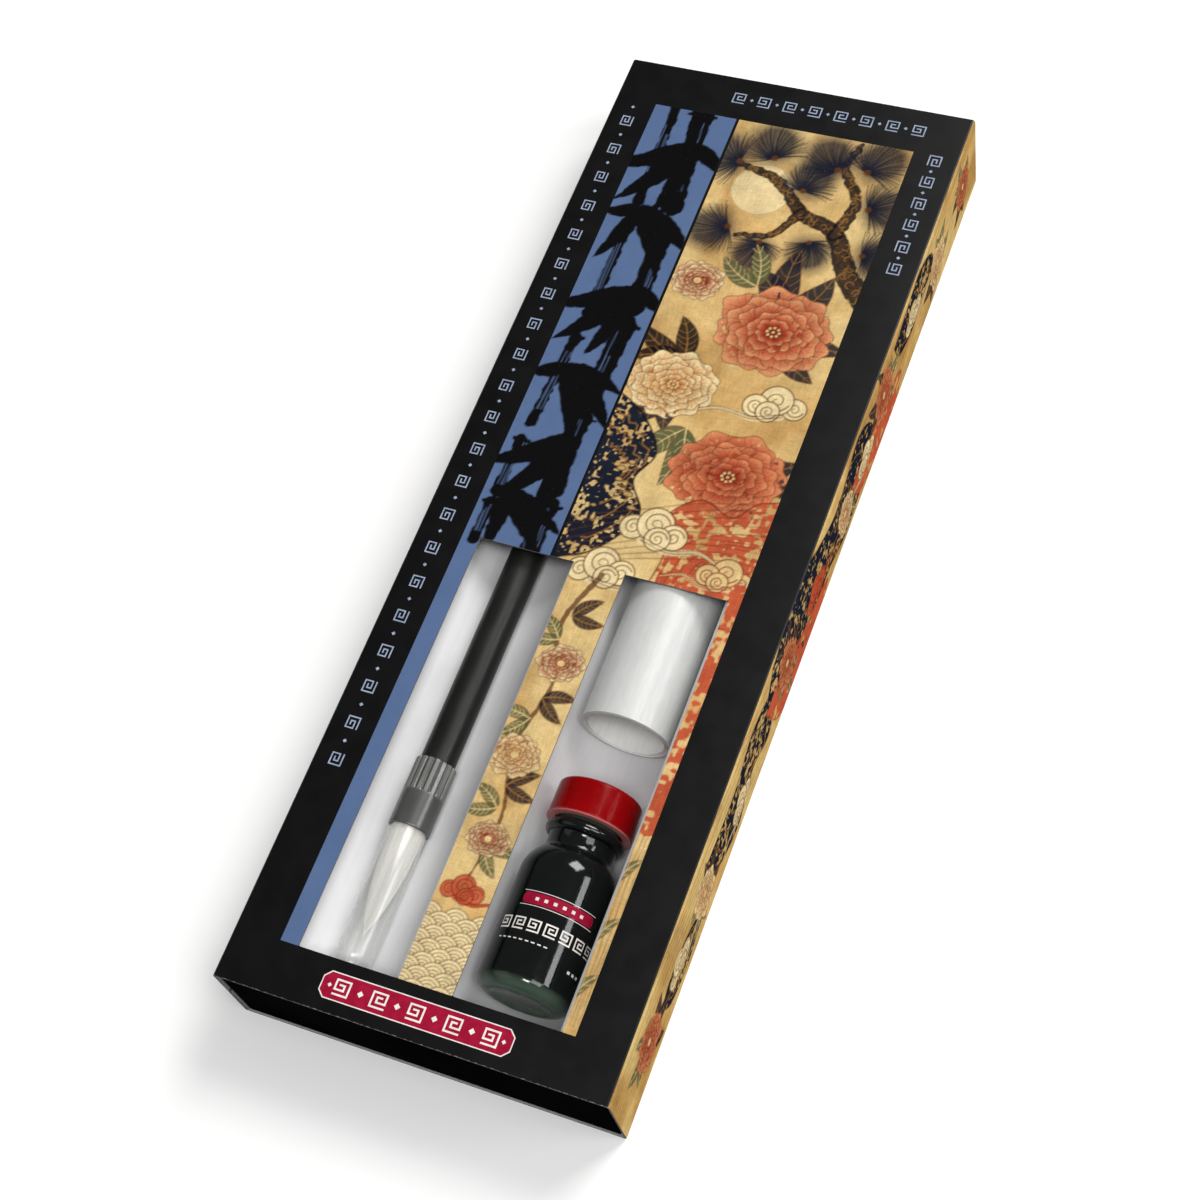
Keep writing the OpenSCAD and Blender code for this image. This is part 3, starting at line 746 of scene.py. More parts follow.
def sideways(line):
    """For each point of a line, the way to its left, one long."""
    along = np.gradient(line, axis=0)
    return np.stack([-along[:, 1], along[:, 0]], -1) / np.linalg.norm(along, axis=1)[:, None]


def bowed(start, end, bow, steps):
    """A line from start to end that bows out to the left by a share of its length."""
    start, end = np.asarray(start, float), np.asarray(end, float)
    t = np.linspace(0, 1, steps)[:, None]
    side = np.array([-(end - start)[1], (end - start)[0]])
    return start + (end - start) * t + side * bow * 4 * t * (1 - t)


def smooth_line(points, steps=8):
    """A smooth line through points: the cubic that leaves each along its neighbours' chord."""
    p = np.asarray(points, float)
    p = np.concatenate([[2 * p[0] - p[1]], p, [2 * p[-1] - p[-2]]])
    t = np.linspace(0, 1, steps, endpoint=False)[:, None]
    pieces = [
        0.5 * (2 * b + (c - a) * t + (2 * a - 5 * b + 4 * c - d) * t**2 + (3 * b - a - 3 * c + d) * t**3)
        for a, b, c, d in zip(p, p[1:], p[2:], p[3:])
    ]
    return np.concatenate(pieces + [p[-2:-1]])


def petal(length, width, phase):
    """Outline of a petal from its root at nought: its length goes as one less the cosine of the way
    round, its width as the sine, wider towards the tip, and six ripples frill the tip."""
    s = np.linspace(0, 2 * math.pi, 40, endpoint=False)
    reach = (1 - np.cos(s)) / 2
    ripple = 1 + 0.055 * np.cos(6 * (s - math.pi) + phase) * reach**3
    return np.stack([width / 2 * np.sin(s) * (0.5 + 0.6 * reach) * ripple, length * reach * ripple], -1)


def blossom(panel, spot, size, turn, seed, deep, middle, pale):
    """A many-petalled blossom: rings of frilled petals from the outside in, veined and outlined."""
    rng = np.random.default_rng(seed)
    spot = np.asarray(spot, float)
    rings = ((1.0, 8, 0.95), (0.82, 8, 0.78), (0.64, 7, 0.62), (0.47, 6, 0.5), (0.31, 5, 0.38))
    for ring, (reach, count, width) in enumerate(rings):
        start = turn + ring * 27 + rng.uniform(-8, 8)
        for k in rng.permutation(count):
            length = size * reach * rng.uniform(0.92, 1.06)
            facing = start + 360 * k / count + rng.uniform(-6, 6)
            shape = petal(length, size * width * rng.uniform(0.9, 1.1), rng.uniform(0, 6))

            def shade(u, v):
                """Deep, then middle, then pale, by the distance from the blossom's middle."""
                from_root = np.hypot(u - spot[0], (v - spot[1]) / SQUASH) / length
                t = np.clip((from_root - 0.35) / 0.65, 0, 1)[..., None]
                low = deep + (middle - deep) * np.clip(t * 2, 0, 1)
                return low + (pale - low) * np.clip(t * 2 - 0.95, 0, 1) ** 1.3

            panel.fill(
                placed(shape, spot, facing, SQUASH), shade, worn(0.22, 0.9, seed + ring), BROWN, 0.26, 0.75
            )
            for lean in (-0.28, -0.1, 0.1, 0.28):
                tip = (lean * length * 0.9, length * 0.9)
                vein = bowed((0, length * 0.4), tip, 0.08 * np.sign(lean), 7)
                panel.stroke(placed(vein, spot, facing, SQUASH), 0.22, deep, 0.45)
    for k in range(9):
        out = size * 0.1 * (k > 0)
        dot = placed([(0, out), (0.01, out + 0.01)], spot, 45 * k, SQUASH)
        panel.stroke(dot, 0.75, PALE_GOLD, 0.9)


def leaf(panel, root, tip, width, colour, bow, strength=0.95, ribs=5):
    """A pointed leaf from root to tip, with a midrib and ribs: its width goes as a sine along it."""
    vein = PALE_GOLD if colour is OLIVE else DEEP_GOLD
    spine = bowed(root, tip, bow, 16)
    half = width / 2 * np.sin(math.pi * np.linspace(0, 1, 16) ** 0.8) ** 0.85
    side = sideways(spine)
    outline = np.concatenate([spine + side * half[:, None], (spine - side * half[:, None])[::-1]])
    panel.fill(outline, colour, strength, BROWN, 0.24, 0.6)
    panel.stroke(spine, np.linspace(0.42, 0.15, 16), vein, 0.85)
    for k in np.linspace(3, 12, ribs).astype(int):
        for hand in (-1, 1):
            end = spine[min(k + 2, 15)] + side[k] * half[k] * 0.85 * hand
            panel.stroke(bowed(spine[k], end, 0.1 * hand, 5), 0.2, vein, 0.6)


def leaf_spray(panel, root, facing, size, colour, spread, count=3):
    """Pointed leaves that fan out from one root."""
    for k in range(count):
        off = k - (count - 1) / 2
        tip = away(root, facing + off * spread, size * (1 - 0.18 * abs(off)))
        leaf(panel, root, tip, size * 0.36, colour, 0.08 if k % 2 else -0.08)


def needles(panel, spot, size, facing, seed):
    """A fan of pine needles: thin strokes that spring from one spot, over a soft pad of them."""
    rng = np.random.default_rng(seed)
    pad = placed([(0.44 * size, 0), (0.441 * size, 0.01)], spot, facing)
    panel.stroke(pad, size * 1.2, NAVY, 0.86, size * 0.4)
    for a in np.linspace(-92, 92, 31):
        turn = facing + a + rng.uniform(-3, 3)
        reach = size * rng.uniform(0.82, 1.0) * (1 - 0.22 * abs(a) / 88)
        panel.stroke(bowed(spot, away(spot, turn, reach), 0.05, 6), np.linspace(0.5, 0.16, 6), NAVY, 0.92)
    panel.stroke([spot, np.asarray(spot) + 0.01], size * 0.16, BROWN, 0.8)


def bough(panel, points, first, last, seed):
    """A gnarled bough: a tapering dark stroke with small pale and dark curls of bark."""
    line = smooth_line(points)
    width = np.linspace(first, last, len(line))
    panel.stroke(line, width + 0.5, BLUE_BLACK, 0.95, ragged=0.45)
    panel.stroke(line, width * 0.62, BARK, 0.8, 0.9, 0.5)
    rng = np.random.default_rng(seed)
    side = sideways(line)
    for k in np.repeat(np.arange(1, len(line) - 1), 2):
        offset = rng.uniform(-0.36, 0.36)
        middle = line[k] + side[k] * width[k] * offset + rng.uniform(-0.4, 0.4, 2)
        curl = placed(arc((0, 0), width[k] * 0.16 + 0.2, 0, 230, 7), middle, rng.uniform(0, 360))
        panel.stroke(curl, 0.26, DEEP_GOLD if rng.random() < 0.6 else BLUE_BLACK, 0.75)


def curl_line(size, hand):
    """A spiral that winds in from nought's right at the distance size."""
    t = np.linspace(0, 1, 34)
    a = hand * 2 * math.pi * CURL_TURNS * t
    r = size * (1 - 0.86 * t**0.8)
    return np.stack([r * np.cos(a), r * np.sin(a)], -1)


def scroll_cloud(panel, spot, size, turn, body, hand=1, tail=3.0, width=0.42):
    """A cloud of curling scrolls on a trailing ribbon."""
    line = BROWN if body is CREAM else DEEP_RED
    trail = smooth_line([(-0.3, -0.5), (1.1, -0.72), (1.1 + tail / 2, -0.35), (1.1 + tail, -0.75)])
    ribbon = placed(trail * size * (hand, 1), spot, turn)
    for thick, colour, strength in ((0.5, body, 0.9), (0.3, line, 0.25)):
        panel.stroke(ribbon, np.linspace(size * thick, 0.25, len(ribbon)), colour, strength)
    for x, y, r in ((-0.95, -0.05, 0.62), (0.0, 0.38, 0.86), (1.0, 0.0, 0.66), (0.35, -0.3, 0.6)):
        middle = placed([(x * size * hand, y * size)], spot, turn)[0]
        lobe = placed(arc((0, 0), r * size, 0, 345, 22), middle, turn)
        panel.fill(lobe, body, 0.92, line, width, 0.85)
        curl = placed(curl_line(r * size * 0.78, hand), middle, turn + 20 * hand)
        panel.stroke(curl, np.linspace(width, width * 0.6, len(curl)), line, 0.85)
    for drop in (-0.08, 0.09):
        rib = placed((trail + (0, drop)) * size * (hand, 1), spot, turn)
        panel.stroke(rib, width * 0.7, line, 0.7)


def drapes(panel, start, end, spread, count, width=0.3, bow=0.05, strength=0.5):
    """Flowing lines side by side, as of a stream: each bows a little less than the one before."""
    start, end = np.asarray(start, float), np.asarray(end, float)
    side = np.array([-(end - start)[1], (end - start)[0]]) / np.linalg.norm(end - start)
    for k in range(count):
        t = k / (count - 1)
        shift = side * spread * (t - 0.5)
        line = bowed(start + shift, end + shift * 1.25, bow * (1 - 0.6 * t), 18)
        line += side * 0.35 * np.sin(np.linspace(0, 9, 18) + k)[:, None]
        panel.stroke(line, width * (0.7 + 0.6 * np.sin(np.linspace(0, math.pi, 18))), BROWN, strength)


def rock(panel, points, seed):
    """A weathered rock: a dark worn shape with a rim, contour strokes and pierced hollows."""
    outline = smooth_line([*points, points[0]], 7)[:-1]
    panel.fill(outline, NAVY, worn(0.34, 0.8, seed), BLUE_BLACK, 0.5, 0.9)
    middle = outline.mean(0)
    for shrink in (0.78, 0.56, 0.34):
        ring = middle + (outline - middle) * shrink
        ring += 0.5 * np.sin(np.arange(len(ring)) * 1.7 + seed)[:, None]
        panel.stroke(ring[: int(len(ring) * 0.8)], 0.36, DEEP_GOLD, 0.75)
    rng = np.random.default_rng(seed)
    for _ in range(9):
        spot = middle + (outline[rng.integers(len(outline))] - middle) * rng.uniform(0.2, 0.75)
        hole = placed(arc((0, 0), rng.uniform(0.6, 1.3), 0, 330, 10), spot, 0, 0.6)
        panel.fill(hole, GOLD, 0.85, BLUE_BLACK)


def waves(panel, low, high, size):
    """Rows of overlapping round waves, each of three arcs, from far to near."""
    rows = int((high[1] - low[1]) / (size * 0.5)) + 2
    for row in range(rows, -1, -1):
        y = low[1] + row * size * 0.5
        for col in range(int((high[0] - low[0]) / (2 * size)) + 3):
            x = low[0] + (2 * col + row % 2 - 1) * size
            panel.fill(arc((x, y), size, 0, 355, 26), CREAM, 0.95, BROWN)
            for share in (0.72, 0.46, 0.22):
                panel.stroke(arc((x, y), size * share, 0, 180, 12), 0.26, BROWN, 0.8)


def red_patch(panel, points, worn_away, rim_width=0.3):
    """A worn patch of vermilion with a deep red rim."""
    panel.fill(smooth_line([*points, points[0]]), VERMILION, worn_away, DEEP_RED, rim_width)


def steps_between(stops, step):
    """Places from the first stop to the last, about a step apart, with every stop among them."""
    runs = [
        np.linspace(a, b, max(2, int(round((b - a) / step)) + 1))[:-1] for a, b in zip(stops, stops[1:])
    ]
    return np.concatenate(runs + [np.array(stops[-1:])])


def lay_down(panel, name, finish, points, kept=None):
    """Makes a panel a printed sheet: points gives each place, kept says which faces stay."""
    faces = grid_faces(*panel.u.shape)
    if kept is not None:
        faces = faces[kept(panel.u.ravel()[faces].mean(1), panel.v.ravel()[faces].mean(1))]
    used, faces = np.unique(faces, return_inverse=True)
    sheet = make_piece(
        name, points.reshape(-1, 3)[used], faces.reshape(-1, 4), finish, "sleeve", "sleeve_print",
        weld=False, angle=60.0,
    )
    laid = np.ones((len(used), 4))
    laid[:, :3] = panel.colour.reshape(-1, 3)[used]
    mark(sheet, "laid", laid, "FLOAT_COLOR", "color")
    return sheet


def top_panel(stops, step, ground):
    """A panel on the box's top, across from the first stop to the last, along from the windows' near
    edge to the print's far end. Its own places start at nought."""
    along = steps_between([*WINDOWS_Y, PRINT_FAR], step)
    return Panel(steps_between(stops, step) - stops[0], along - WINDOWS_Y[0], ground)


def lay_on_top(panel, name, finish, start):
    """Lays a panel on the CAD model's own top, from the place start across, clear of both windows."""
    def outside_windows(u, v):
        """True where a place lies between no window's edges, both across and along."""
        x, y = u + start, v + WINDOWS_Y[0]
        in_window = [(x > low) & (x < high) for low, high in (BRUSH_WINDOW, BOTTLE_WINDOW)]
        return ~((y > WINDOWS_Y[0]) & (y < WINDOWS_Y[1]) & (in_window[0] | in_window[1]))

    x, y = panel.u + start, panel.v + WINDOWS_Y[0]
    lay_down(panel, name, finish, np.stack([x, y, np.full(x.shape, BOX_H)], -1), outside_windows)


def silk_ground(panel, seed):
    """Old gold silk: slow clouds of lighter and deeper gold, and browned streaks along the box."""
    cloud = mottle(panel.u, panel.v, 17.0, seed) * 0.6 + mottle(panel.u, panel.v, 6.0, seed + 1) * 0.4
    t = np.clip((cloud - 0.25) / 0.5, 0, 1)[..., None]
    panel.colour[:] = GOLD + (PALE_GOLD - GOLD) * t
    browned = np.clip((mottle(panel.u, panel.v * 0.35, 7.0, seed + 2) - 0.6) / 0.3, 0, 1)[..., None]
    panel.colour += (DEEP_GOLD - panel.colour) * browned * 0.5


def make_painting():
    """The large print: pine, moon, blossoms, rock, clouds and a stream on old gold silk."""
    stops = [PAINTING_X[0], BRUSH_WINDOW[1], *BOTTLE_WINDOW, PAINTING_X[1]]
    panel = top_panel(stops, PRINT_STEP, GOLD)
    silk_ground(panel, 3)

    # far part: a pale moon behind a pine's boughs
    panel.stroke([(14, 236), (14.01, 236.01)], 17, CREAM, 0.75, 0.8)
    panel.stroke(arc((14, 236), 8.5, 0, 360, 40), 0.25, DEEP_GOLD, 0.5)
    bough(panel, [(54, 205), (45, 214), (38, 226), (27, 231), (17, 240), (6, 243)], 6.5, 1.6, 11)
    bough(panel, [(38, 226), (40, 238), (34, 248), (36, 257)], 3.4, 1.2, 12)
    bough(panel, [(27, 231), (21, 222), (12, 220)], 2.4, 1.0, 13)
    for n, (x, y, size, facing) in enumerate((
        (5, 244, 12.5, 165), (14, 247, 12, 105), (25, 238, 11, 75), (9, 222, 11.5, 200),
        (19, 219, 10, 260), (32, 247, 12, 130), (40, 248, 12.5, 55), (44, 236, 12, 15),
        (47, 221, 11, 5), (32, 222, 9.5, 285),
    )):
        needles(panel, (x, y), size, facing, 40 + n)

    # middle: blossoms among dark leaves
    for spray in (
        ((33, 196), 95, 23, NAVY, 34), ((36, 188), 5, 17, NAVY, 44), ((12, 178), 150, 17, BLUE_BLACK, 40),
        ((14, 172), 235, 20, NAVY, 36), ((38, 150), -20, 18, NAVY, 42), ((20, 158), 265, 18, OLIVE, 30),
    ):
        leaf_spray(panel, *spray)
    scroll_cloud(panel, (40, 170), 5.2, 8, CREAM, -1, 3.4)
    blossom(panel, (32, 192), 16.5, 10, 21, *REDS, tone(0.77, 0.53, 0.37))
    blossom(panel, (12, 170), 12.5, 40, 22, *TAWNY)
    blossom(panel, (35, 147), 15.5, 70, 23, *REDS, tone(0.75, 0.47, 0.32))
    leaf_spray(panel, (23, 205), 128, 15, OLIVE, 40, 2)
    blossom(panel, (7, 203), 7.5, 0, 24, *REDS, CREAM)

    # near the windows: a red bank, a pierced rock and a stream with clouds
    bank = [(25, 108), (27, 122), (24, 132), (31, 139), (40, 136), (46, 142), (56, 140), (56, 108)]
    red_patch(panel, bank, worn(0.4, 1.0, 12), 0.5)
    for k in range(4):
        line = smooth_line([(27 + 2 * k, 110), (30 + 2 * k, 124 - k), (40, 131 - 3 * k), (54, 134 - 4 * k)])
        panel.stroke(line, 0.3, DEEP_RED, 0.6)
    rock(panel, [
        (-6, 166), (2, 163), (9, 158), (15, 149), (12, 140), (17, 131), (12, 121), (4, 115), (-6, 117)
    ], 7)
    drapes(panel, (2, 118), (50, 133), 15, 9, bow=0.07, strength=0.55)
    scroll_cloud(panel, (22, 127), 5.6, -4, CREAM, 1, 2.6)
    scroll_cloud(panel, (13, 113), 5.4, 6, CREAM)
    scroll_cloud(panel, (44, 119), 4.6, 0, PALE_GOLD, -1, 2.4)

    # between and beside the windows: a blossoming stem, a cloud, waves, a red edge and leaves
    stem = smooth_line([(14, 112), (9, 96), (13, 80), (10, 62), (14, 44), (12, 26)])
    panel.stroke(stem, np.linspace(1.5, 0.7, len(stem)), BROWN, 0.85, ragged=0.2)
    for x, y, facing, shade in (
        (11, 99, 20, NAVY), (10, 92, 160, OLIVE), (12, 76, -15, NAVY), (11, 70, 200, OLIVE),
        (12, 52, 10, NAVY), (12, 46, 170, OLIVE), (13, 36, -30, OLIVE),
    ):
        leaf_spray(panel, (x, y), facing, 9.5, shade, 46, 2)
    blossom(panel, (13, 86), 6.2, 0, 31, *REDS, CREAM)
    blossom(panel, (11, 60), 6.8, 30, 32, *TAWNY)
    blossom(panel, (13, 38), 5.6, 15, 33, *REDS, CREAM)
    scroll_cloud(panel, (12, 24), 3.4, 0, VERMILION, 1, 2.6, 0.34)
    waves(panel, (3, -4), (22, 13), 3.4)
    edge = smooth_line([(48.4, 52), (48.8, 75), (48.2, 98), (48.6, 116)])
    panel.stroke(edge, 5.0, VERMILION, worn(0.36, 1.2, 9), ragged=0.8)
    drapes(panel, (48.5, 2), (48.5, 50), 3, 4, 0.26, 0.01)
    for y in (8, 22, 37):
        leaf(panel, (46, y), (50.5, y + 7), 2.4, OLIVE, 0.1, 0.85, 3)
    lay_on_top(panel, "painting_print", SILK_PRINT, PAINTING_X[0])


def make_side_painting():
    """The print that runs over the right fold and down the side: blossoms, rock and clouds on silk.
    Across the panel runs from the upper edge down."""
    straight = BOX_H - 2 * FOLD_R
    above, below = FOLD_R * math.radians(58), FOLD_R * math.pi / 2 * 0.95
    around_side = steps_between([-above, 0.0, straight, straight + below], COARSE_STEP)
    panel = Panel(around_side, steps_between([0.0, BOX_L], COARSE_STEP), GOLD)
    silk_ground(panel, 8)
    panel.colour *= 0.93, 0.9, 0.79
    drapes(panel, (3, 0), (14, 120), 26, 12)
    drapes(panel, (22, 120), (8, 284), 26, 11, bow=-0.04)
    for seed, points in (
        (3, [(0, 112), (9, 106), (20, 116), (23, 134), (19, 150), (23, 166), (19, 184), (9, 190),
             (0, 180), (5, 160), (-2, 138)]),
        (4, [(6, 62), (17, 66), (22, 80), (16, 92), (19, 104), (8, 110), (3, 96), (7, 82)]),
        (5, [(3, 210), (11, 214), (14, 228), (8, 244), (0, 234)]),
        (6, [(13, 28), (20, 32), (22, 44), (17, 54), (12, 46), (11, 36)]),
    ):
        rock(panel, points, seed)
    red_patch(
        panel, [(10, 104), (24, 112), (27, 138), (21, 150), (16, 130), (10, 118)], worn(0.26, 1.3, 14)
    )
    red_patch(panel, [(12, 172), (22, 178), (26, 204), (18, 214), (12, 196)], worn(0.3, 1.3, 15))
    red_petals = *REDS, tone(0.75, 0.5, 0.34)
    for n, (x, y, size, petals) in enumerate((
        (13, 20, 8.5, red_petals), (14, 58, 7.5, TAWNY), (12, 120, 8.0, red_petals),
        (15, 166, 7.0, TAWNY), (10, 200, 8.5, red_petals), (15, 248, 8.0, TAWNY),
        (12, 272, 7.0, red_petals),
    )):
        leaf_spray(panel, (x, y), 75 + 40 * n, size * 1.7, NAVY, 44)
        leaf_spray(panel, (x, y), 250 + 50 * n, size * 1.6, OLIVE, 44)
        blossom(panel, (x, y), size, 20 * n, 60 + n, *petals)
    for x, y, size, body, hand, tail in (
        (15, 40, 4.2, CREAM, 1, 2.8), (17, 84, 4.0, CREAM, -1, 2.8), (14, 142, 4.4, VERMILION, 1, 2.6),
        (15, 184, 4.2, CREAM, -1, 2.8), (10, 226, 4.2, CREAM, 1, 2.8),
    ):
        scroll_cloud(panel, (x, y), size, 90, body, hand, tail)
    panel.colour *= 0.93

    # from above the top fold, down the side, and under into the lower fold
    s, v = panel.u, panel.v
    a = np.where(s < 0, -s / FOLD_R, np.where(s > straight, -(s - straight) / FOLD_R, 0.0))
    x = BOX_W / 2 - FOLD_R + FOLD_R * np.cos(a)
    z = np.where(
        s < 0, BOX_H - FOLD_R + FOLD_R * np.sin(a),
        np.where(s > straight, FOLD_R + FOLD_R * np.sin(a), BOX_H - FOLD_R - s),
    )
    sheet = lay_down(panel, "side_print", SILK_PRINT, np.stack([x, v + NEAR, z], -1))
    sheet.data.flip_normals()


def ink_leaf(panel, root, facing, length, width):
    """A long pointed leaf in one press of a full brush, its edge a little ragged."""
    line = bowed(root, away(root, facing, length), 0.06, 20)
    press = np.sin(math.pi * np.linspace(0, 1, 20) ** 0.62) ** 0.8
    panel.stroke(line, width * press + 0.15, PRINT_BLACK, ragged=0.25)


def ink_stalk(panel, points, width, seed):
    """A stalk of jointed lengths, each swelling at its ends, with dry streaks along it."""
    line = smooth_line(points, 24)
    cuts = np.linspace(0, len(line) - 1, STALK_JOINTS + 1).astype(int)
    rng = np.random.default_rng(seed)
    for a, b in zip(cuts, cuts[1:]):
        run = line[a + 1:b - 1]
        t = np.linspace(-1, 1, len(run))
        panel.stroke(run, width * (0.86 + 0.2 * t**4), PRINT_BLACK, ragged=0.35)
        side = sideways(run)
        for _ in range(3):
            k = rng.integers(2, max(3, len(run) - 12))
            streak = run[k:k + rng.integers(6, 11)] + side[k:k + 1] * width * rng.uniform(-0.34, 0.34)
            panel.stroke(streak, 0.24, SLATE_BLUE, 0.75)
        joint = run[-1] + side[-1] * np.linspace(-0.62, 0.62, 7)[:, None] * width
        panel.stroke(joint, 1.1, PRINT_BLACK, ragged=0.3)


def make_strip():
    """The blue strip: bold bamboo in black ink."""
    panel = top_panel([STRIP_X[0], BRUSH_WINDOW[0], STRIP_X[1]], COARSE_STEP, SLATE_BLUE)
    cloud = mottle(panel.u, panel.v, 9.0, 2)[..., None]
    panel.colour += (PALE_SLATE - panel.colour) * cloud * 0.6
    ink_stalk(panel, [(19, 104), (17, 150), (18, 200), (14, 262)], 6.4, 1)
    ink_stalk(panel, [(3, 112), (4, 140), (7, 196), (6, 266)], 3.2, 2)
    for root, leaves in (
        ((15, 246), ((208, 24, 6), (236, 27, 6.4), (262, 25, 5.8), (325, 15, 5))),
        ((8, 222), ((328, 22, 6), (300, 25, 6.2), (196, 10, 4.5), (250, 20, 5))),
        ((16, 196), ((205, 22, 6), (232, 26, 6.4), (256, 24, 6), (330, 12, 5))),
        ((7, 168), ((318, 24, 6.4), (292, 26, 6), (200, 10, 4.4), (345, 19, 5))),
        ((17, 148), ((212, 24, 6.2), (238, 27, 6.4), (262, 22, 5.6))),
        ((6, 128), ((312, 22, 5.8), (335, 20, 5.4), (270, 18, 4.8))),
    ):
        for way in leaves:
            ink_leaf(panel, root, *way)
    lay_on_top(panel, "strip_print", STRIP_PRINT, STRIP_X[0])


make_painting()
make_side_painting()
make_strip()


# Flat printed ornament on the black borders

FRET = ((4, 0), (0, 0), (0, 4), (4, 4), (4, 1.35), (1.45, 1.35), (1.45, 2.75), (2.75, 2.75))


def fret_bars(size, thick, mirror):
    """A square key pattern that winds inwards, as bars (x0, x1, y0, y1) about nought that don't overlap."""
    points = (np.array(FRET) / 4 - 0.5) * size * ((-1 if mirror else 1), 1)
    half, bars = thick / 2, []
    for n, (a, b) in enumerate(zip(points, points[1:])):
        way = np.sign(b - a)
        last = n == len(points) - 2
        start, end = a - way * half, b + way * (half if last else -half)
        across = np.abs(way[::-1]) * half
        low, high = np.minimum(start, end) - across, np.maximum(start, end) + across
        bars.append((low[0], high[0], low[1], high[1]))
    return bars


def fret(spot, size, turn, mirror, thick=0.36):
    """Outlines of a key pattern's bars on the flat, turned and set on a spot."""
    return [
        placed([(x0, y0), (x1, y0), (x1, y1), (x0, y1)], spot, turn)
        for x0, x1, y0, y1 in fret_bars(size, thick, mirror)
    ]


def lozenge(spot, size):
    """A small slanting square."""
    return np.array([(size, 0), (0, size), (-size, 0), (0, -size)]) + spot


def print_flat(name, finish, points, faces):
    """Makes flat faces a print on the sleeve that looks up."""
    make_piece(name, *facing_up(points, faces), finish, "sleeve", "sleeve_print", weld=False)


def print_shapes(name, finish, outlines, z=BOX_H):
    """Flat printed shapes, each a closed outline in millimetres, on the black card."""
    print_flat(name, finish, *joined(*(flat_with_holes([line], z) for line in outlines)))


def make_ornament():
    """Silver-blue key patterns spaced along the borders, with lozenges between them."""
    far_y, shapes = NEAR + BOX_L - 7.0, []
    for start, step, count, lozenges, size, turn in (
        ((-BOX_W / 2 + 6.1, NEAR + 59), (0, 10.2), 21, 21, 3.0, 90),
        ((-15.5, far_y), (7.4, 0), 8, 7, 3.2, 0),
        ((BOX_W / 2 - 6.6, far_y - 9.0), (0, -7.4), 6, 5, 3.2, -90),
    ):
        step = np.array(step)
        for k in range(count):
            spot = start + step * k
            shapes += fret(spot, size, turn, k % 2 == 1)
            if k < lozenges:
                shapes.append(lozenge(spot + step / 2, 0.54))
    print_shapes("border_ornament", SILVER_INK, shapes)


def cut_frame(half, y0, y1, cut):
    """A rectangle of the given half width, with its corners cut."""
    return np.array([
        (-half + cut, y0), (half - cut, y0), (half, y0 + cut), (half, y1 - cut),
        (half - cut, y1), (-half + cut, y1), (-half, y1 - cut), (-half, y0 + cut),
    ])


def make_end_band():
    """A crimson band with cut corners, a pale line round it and a row of key patterns."""
    y0, y1 = NEAR + 3.1, NEAR + 9.8
    line = 0.26
    outer, inner = cut_frame(24.2, y0, y1, 1.6), cut_frame(23.94, y0 + line, y1 - line, 1.5)
    print_flat("end_band_line", PALE_INK, *flat_with_holes([outer, inner], BOX_H))
    print_shapes("end_band", CRIMSON_INK, [inner], BOX_H - 0.006)
    shapes, middle = [], (y0 + y1) / 2
    for k in range(-4, 5):
        spot = (4.7 * k, middle)
        shapes += [lozenge(spot, 0.8)] if k % 2 else fret(spot, 3.5, 0, k % 4 == 0, 0.46)
    shapes += [lozenge((x, middle), 0.55) for x in (-22.0, 22.0)]
    print_shapes("end_band_frets", PALE_INK, shapes)


make_ornament()
make_end_band()


# Sizes of what lies in the box, from the CAD model's own corners, in millimetres

tray_low, tray_high = span("insert_tray")
BRUSH_AXIS, COLLAR_R, COLLAR_Y, COLLAR_L = lying("brush_collar")
BOTTLE_AXIS, BOTTLE_R, BOTTLE_Y, GLASS_H = lying("ink_bottle")
FINISH_R = 7.95
BORE_R = 6.4
THREAD_PITCH = 3.0
CAP_R, cap_near, CAP_H = lying("bottle_cap")[1:]
CAP_Y = cap_near - BOTTLE_Y


# The formed tray

DRAFT = math.radians(6.0)
SHEET_T = 0.4
LIP = 1.9
RIM_R = 0.9
FOOT_R = 2.0
FLOOR_RISE = 3.0
CORNER_R = 3.0
SKIRT_R = 0.7
BRUSH_TROUGH_HALF = 14.45
BOTTLE_TROUGH_R = 13.4
UNDER_BRUSH = 0.2
QUARTER = [math.radians(a) for a in (0, 15, 30, 45, 60, 75, 90)]
RIM_Z = tray_high[2]
TROUGH_NEAR, TROUGH_FAR = tray_low[1] + LIP, tray_high[1] - LIP


def bend(r, off):
    """How far an arc of radius r has left its tangent at the distance off from where they touch: the
    radius less the root of what its square is over that of the distance."""
    return r - math.sqrt(max(r**2 - max(off, 0.0) ** 2, 0.0))


def trough_rings(x, r, bottom):
    """Level outlines of a trough from its rim down: round floor, sloping walls, a soft rim."""
    middle, slope = bottom + r, math.tan(DRAFT)
    levels = [RIM_Z - RIM_R * (1 - math.cos(a)) for a in QUARTER]
    levels += list(np.linspace(levels[-1], bottom + FLOOR_RISE, 8)[1:])
    levels += [
        bottom + FLOOR_RISE * (1 - s) ** 2 for s in (0.12, 0.25, 0.38, 0.5, 0.62, 0.74, 0.85, 0.94)
    ]
    rings = []
    for z in levels:
        if z > middle - r * math.sin(DRAFT):
            half = r / math.cos(DRAFT) + (z - middle) * slope
        else:
            half = math.sqrt(max(r * r - (middle - z) ** 2, 0.0))
        soft = bend(RIM_R, z - RIM_Z + RIM_R)
        lean = (RIM_Z - z) * slope + bend(FOOT_R, bottom + FOOT_R - z)
        line = rounded_outline(
            x - half - soft, x + half + soft, TROUGH_NEAR + lean - soft, TROUGH_FAR - lean + soft,
            min(half, CORNER_R) + soft, 8,
        )
        rings.append(level(line, z))
    return rings


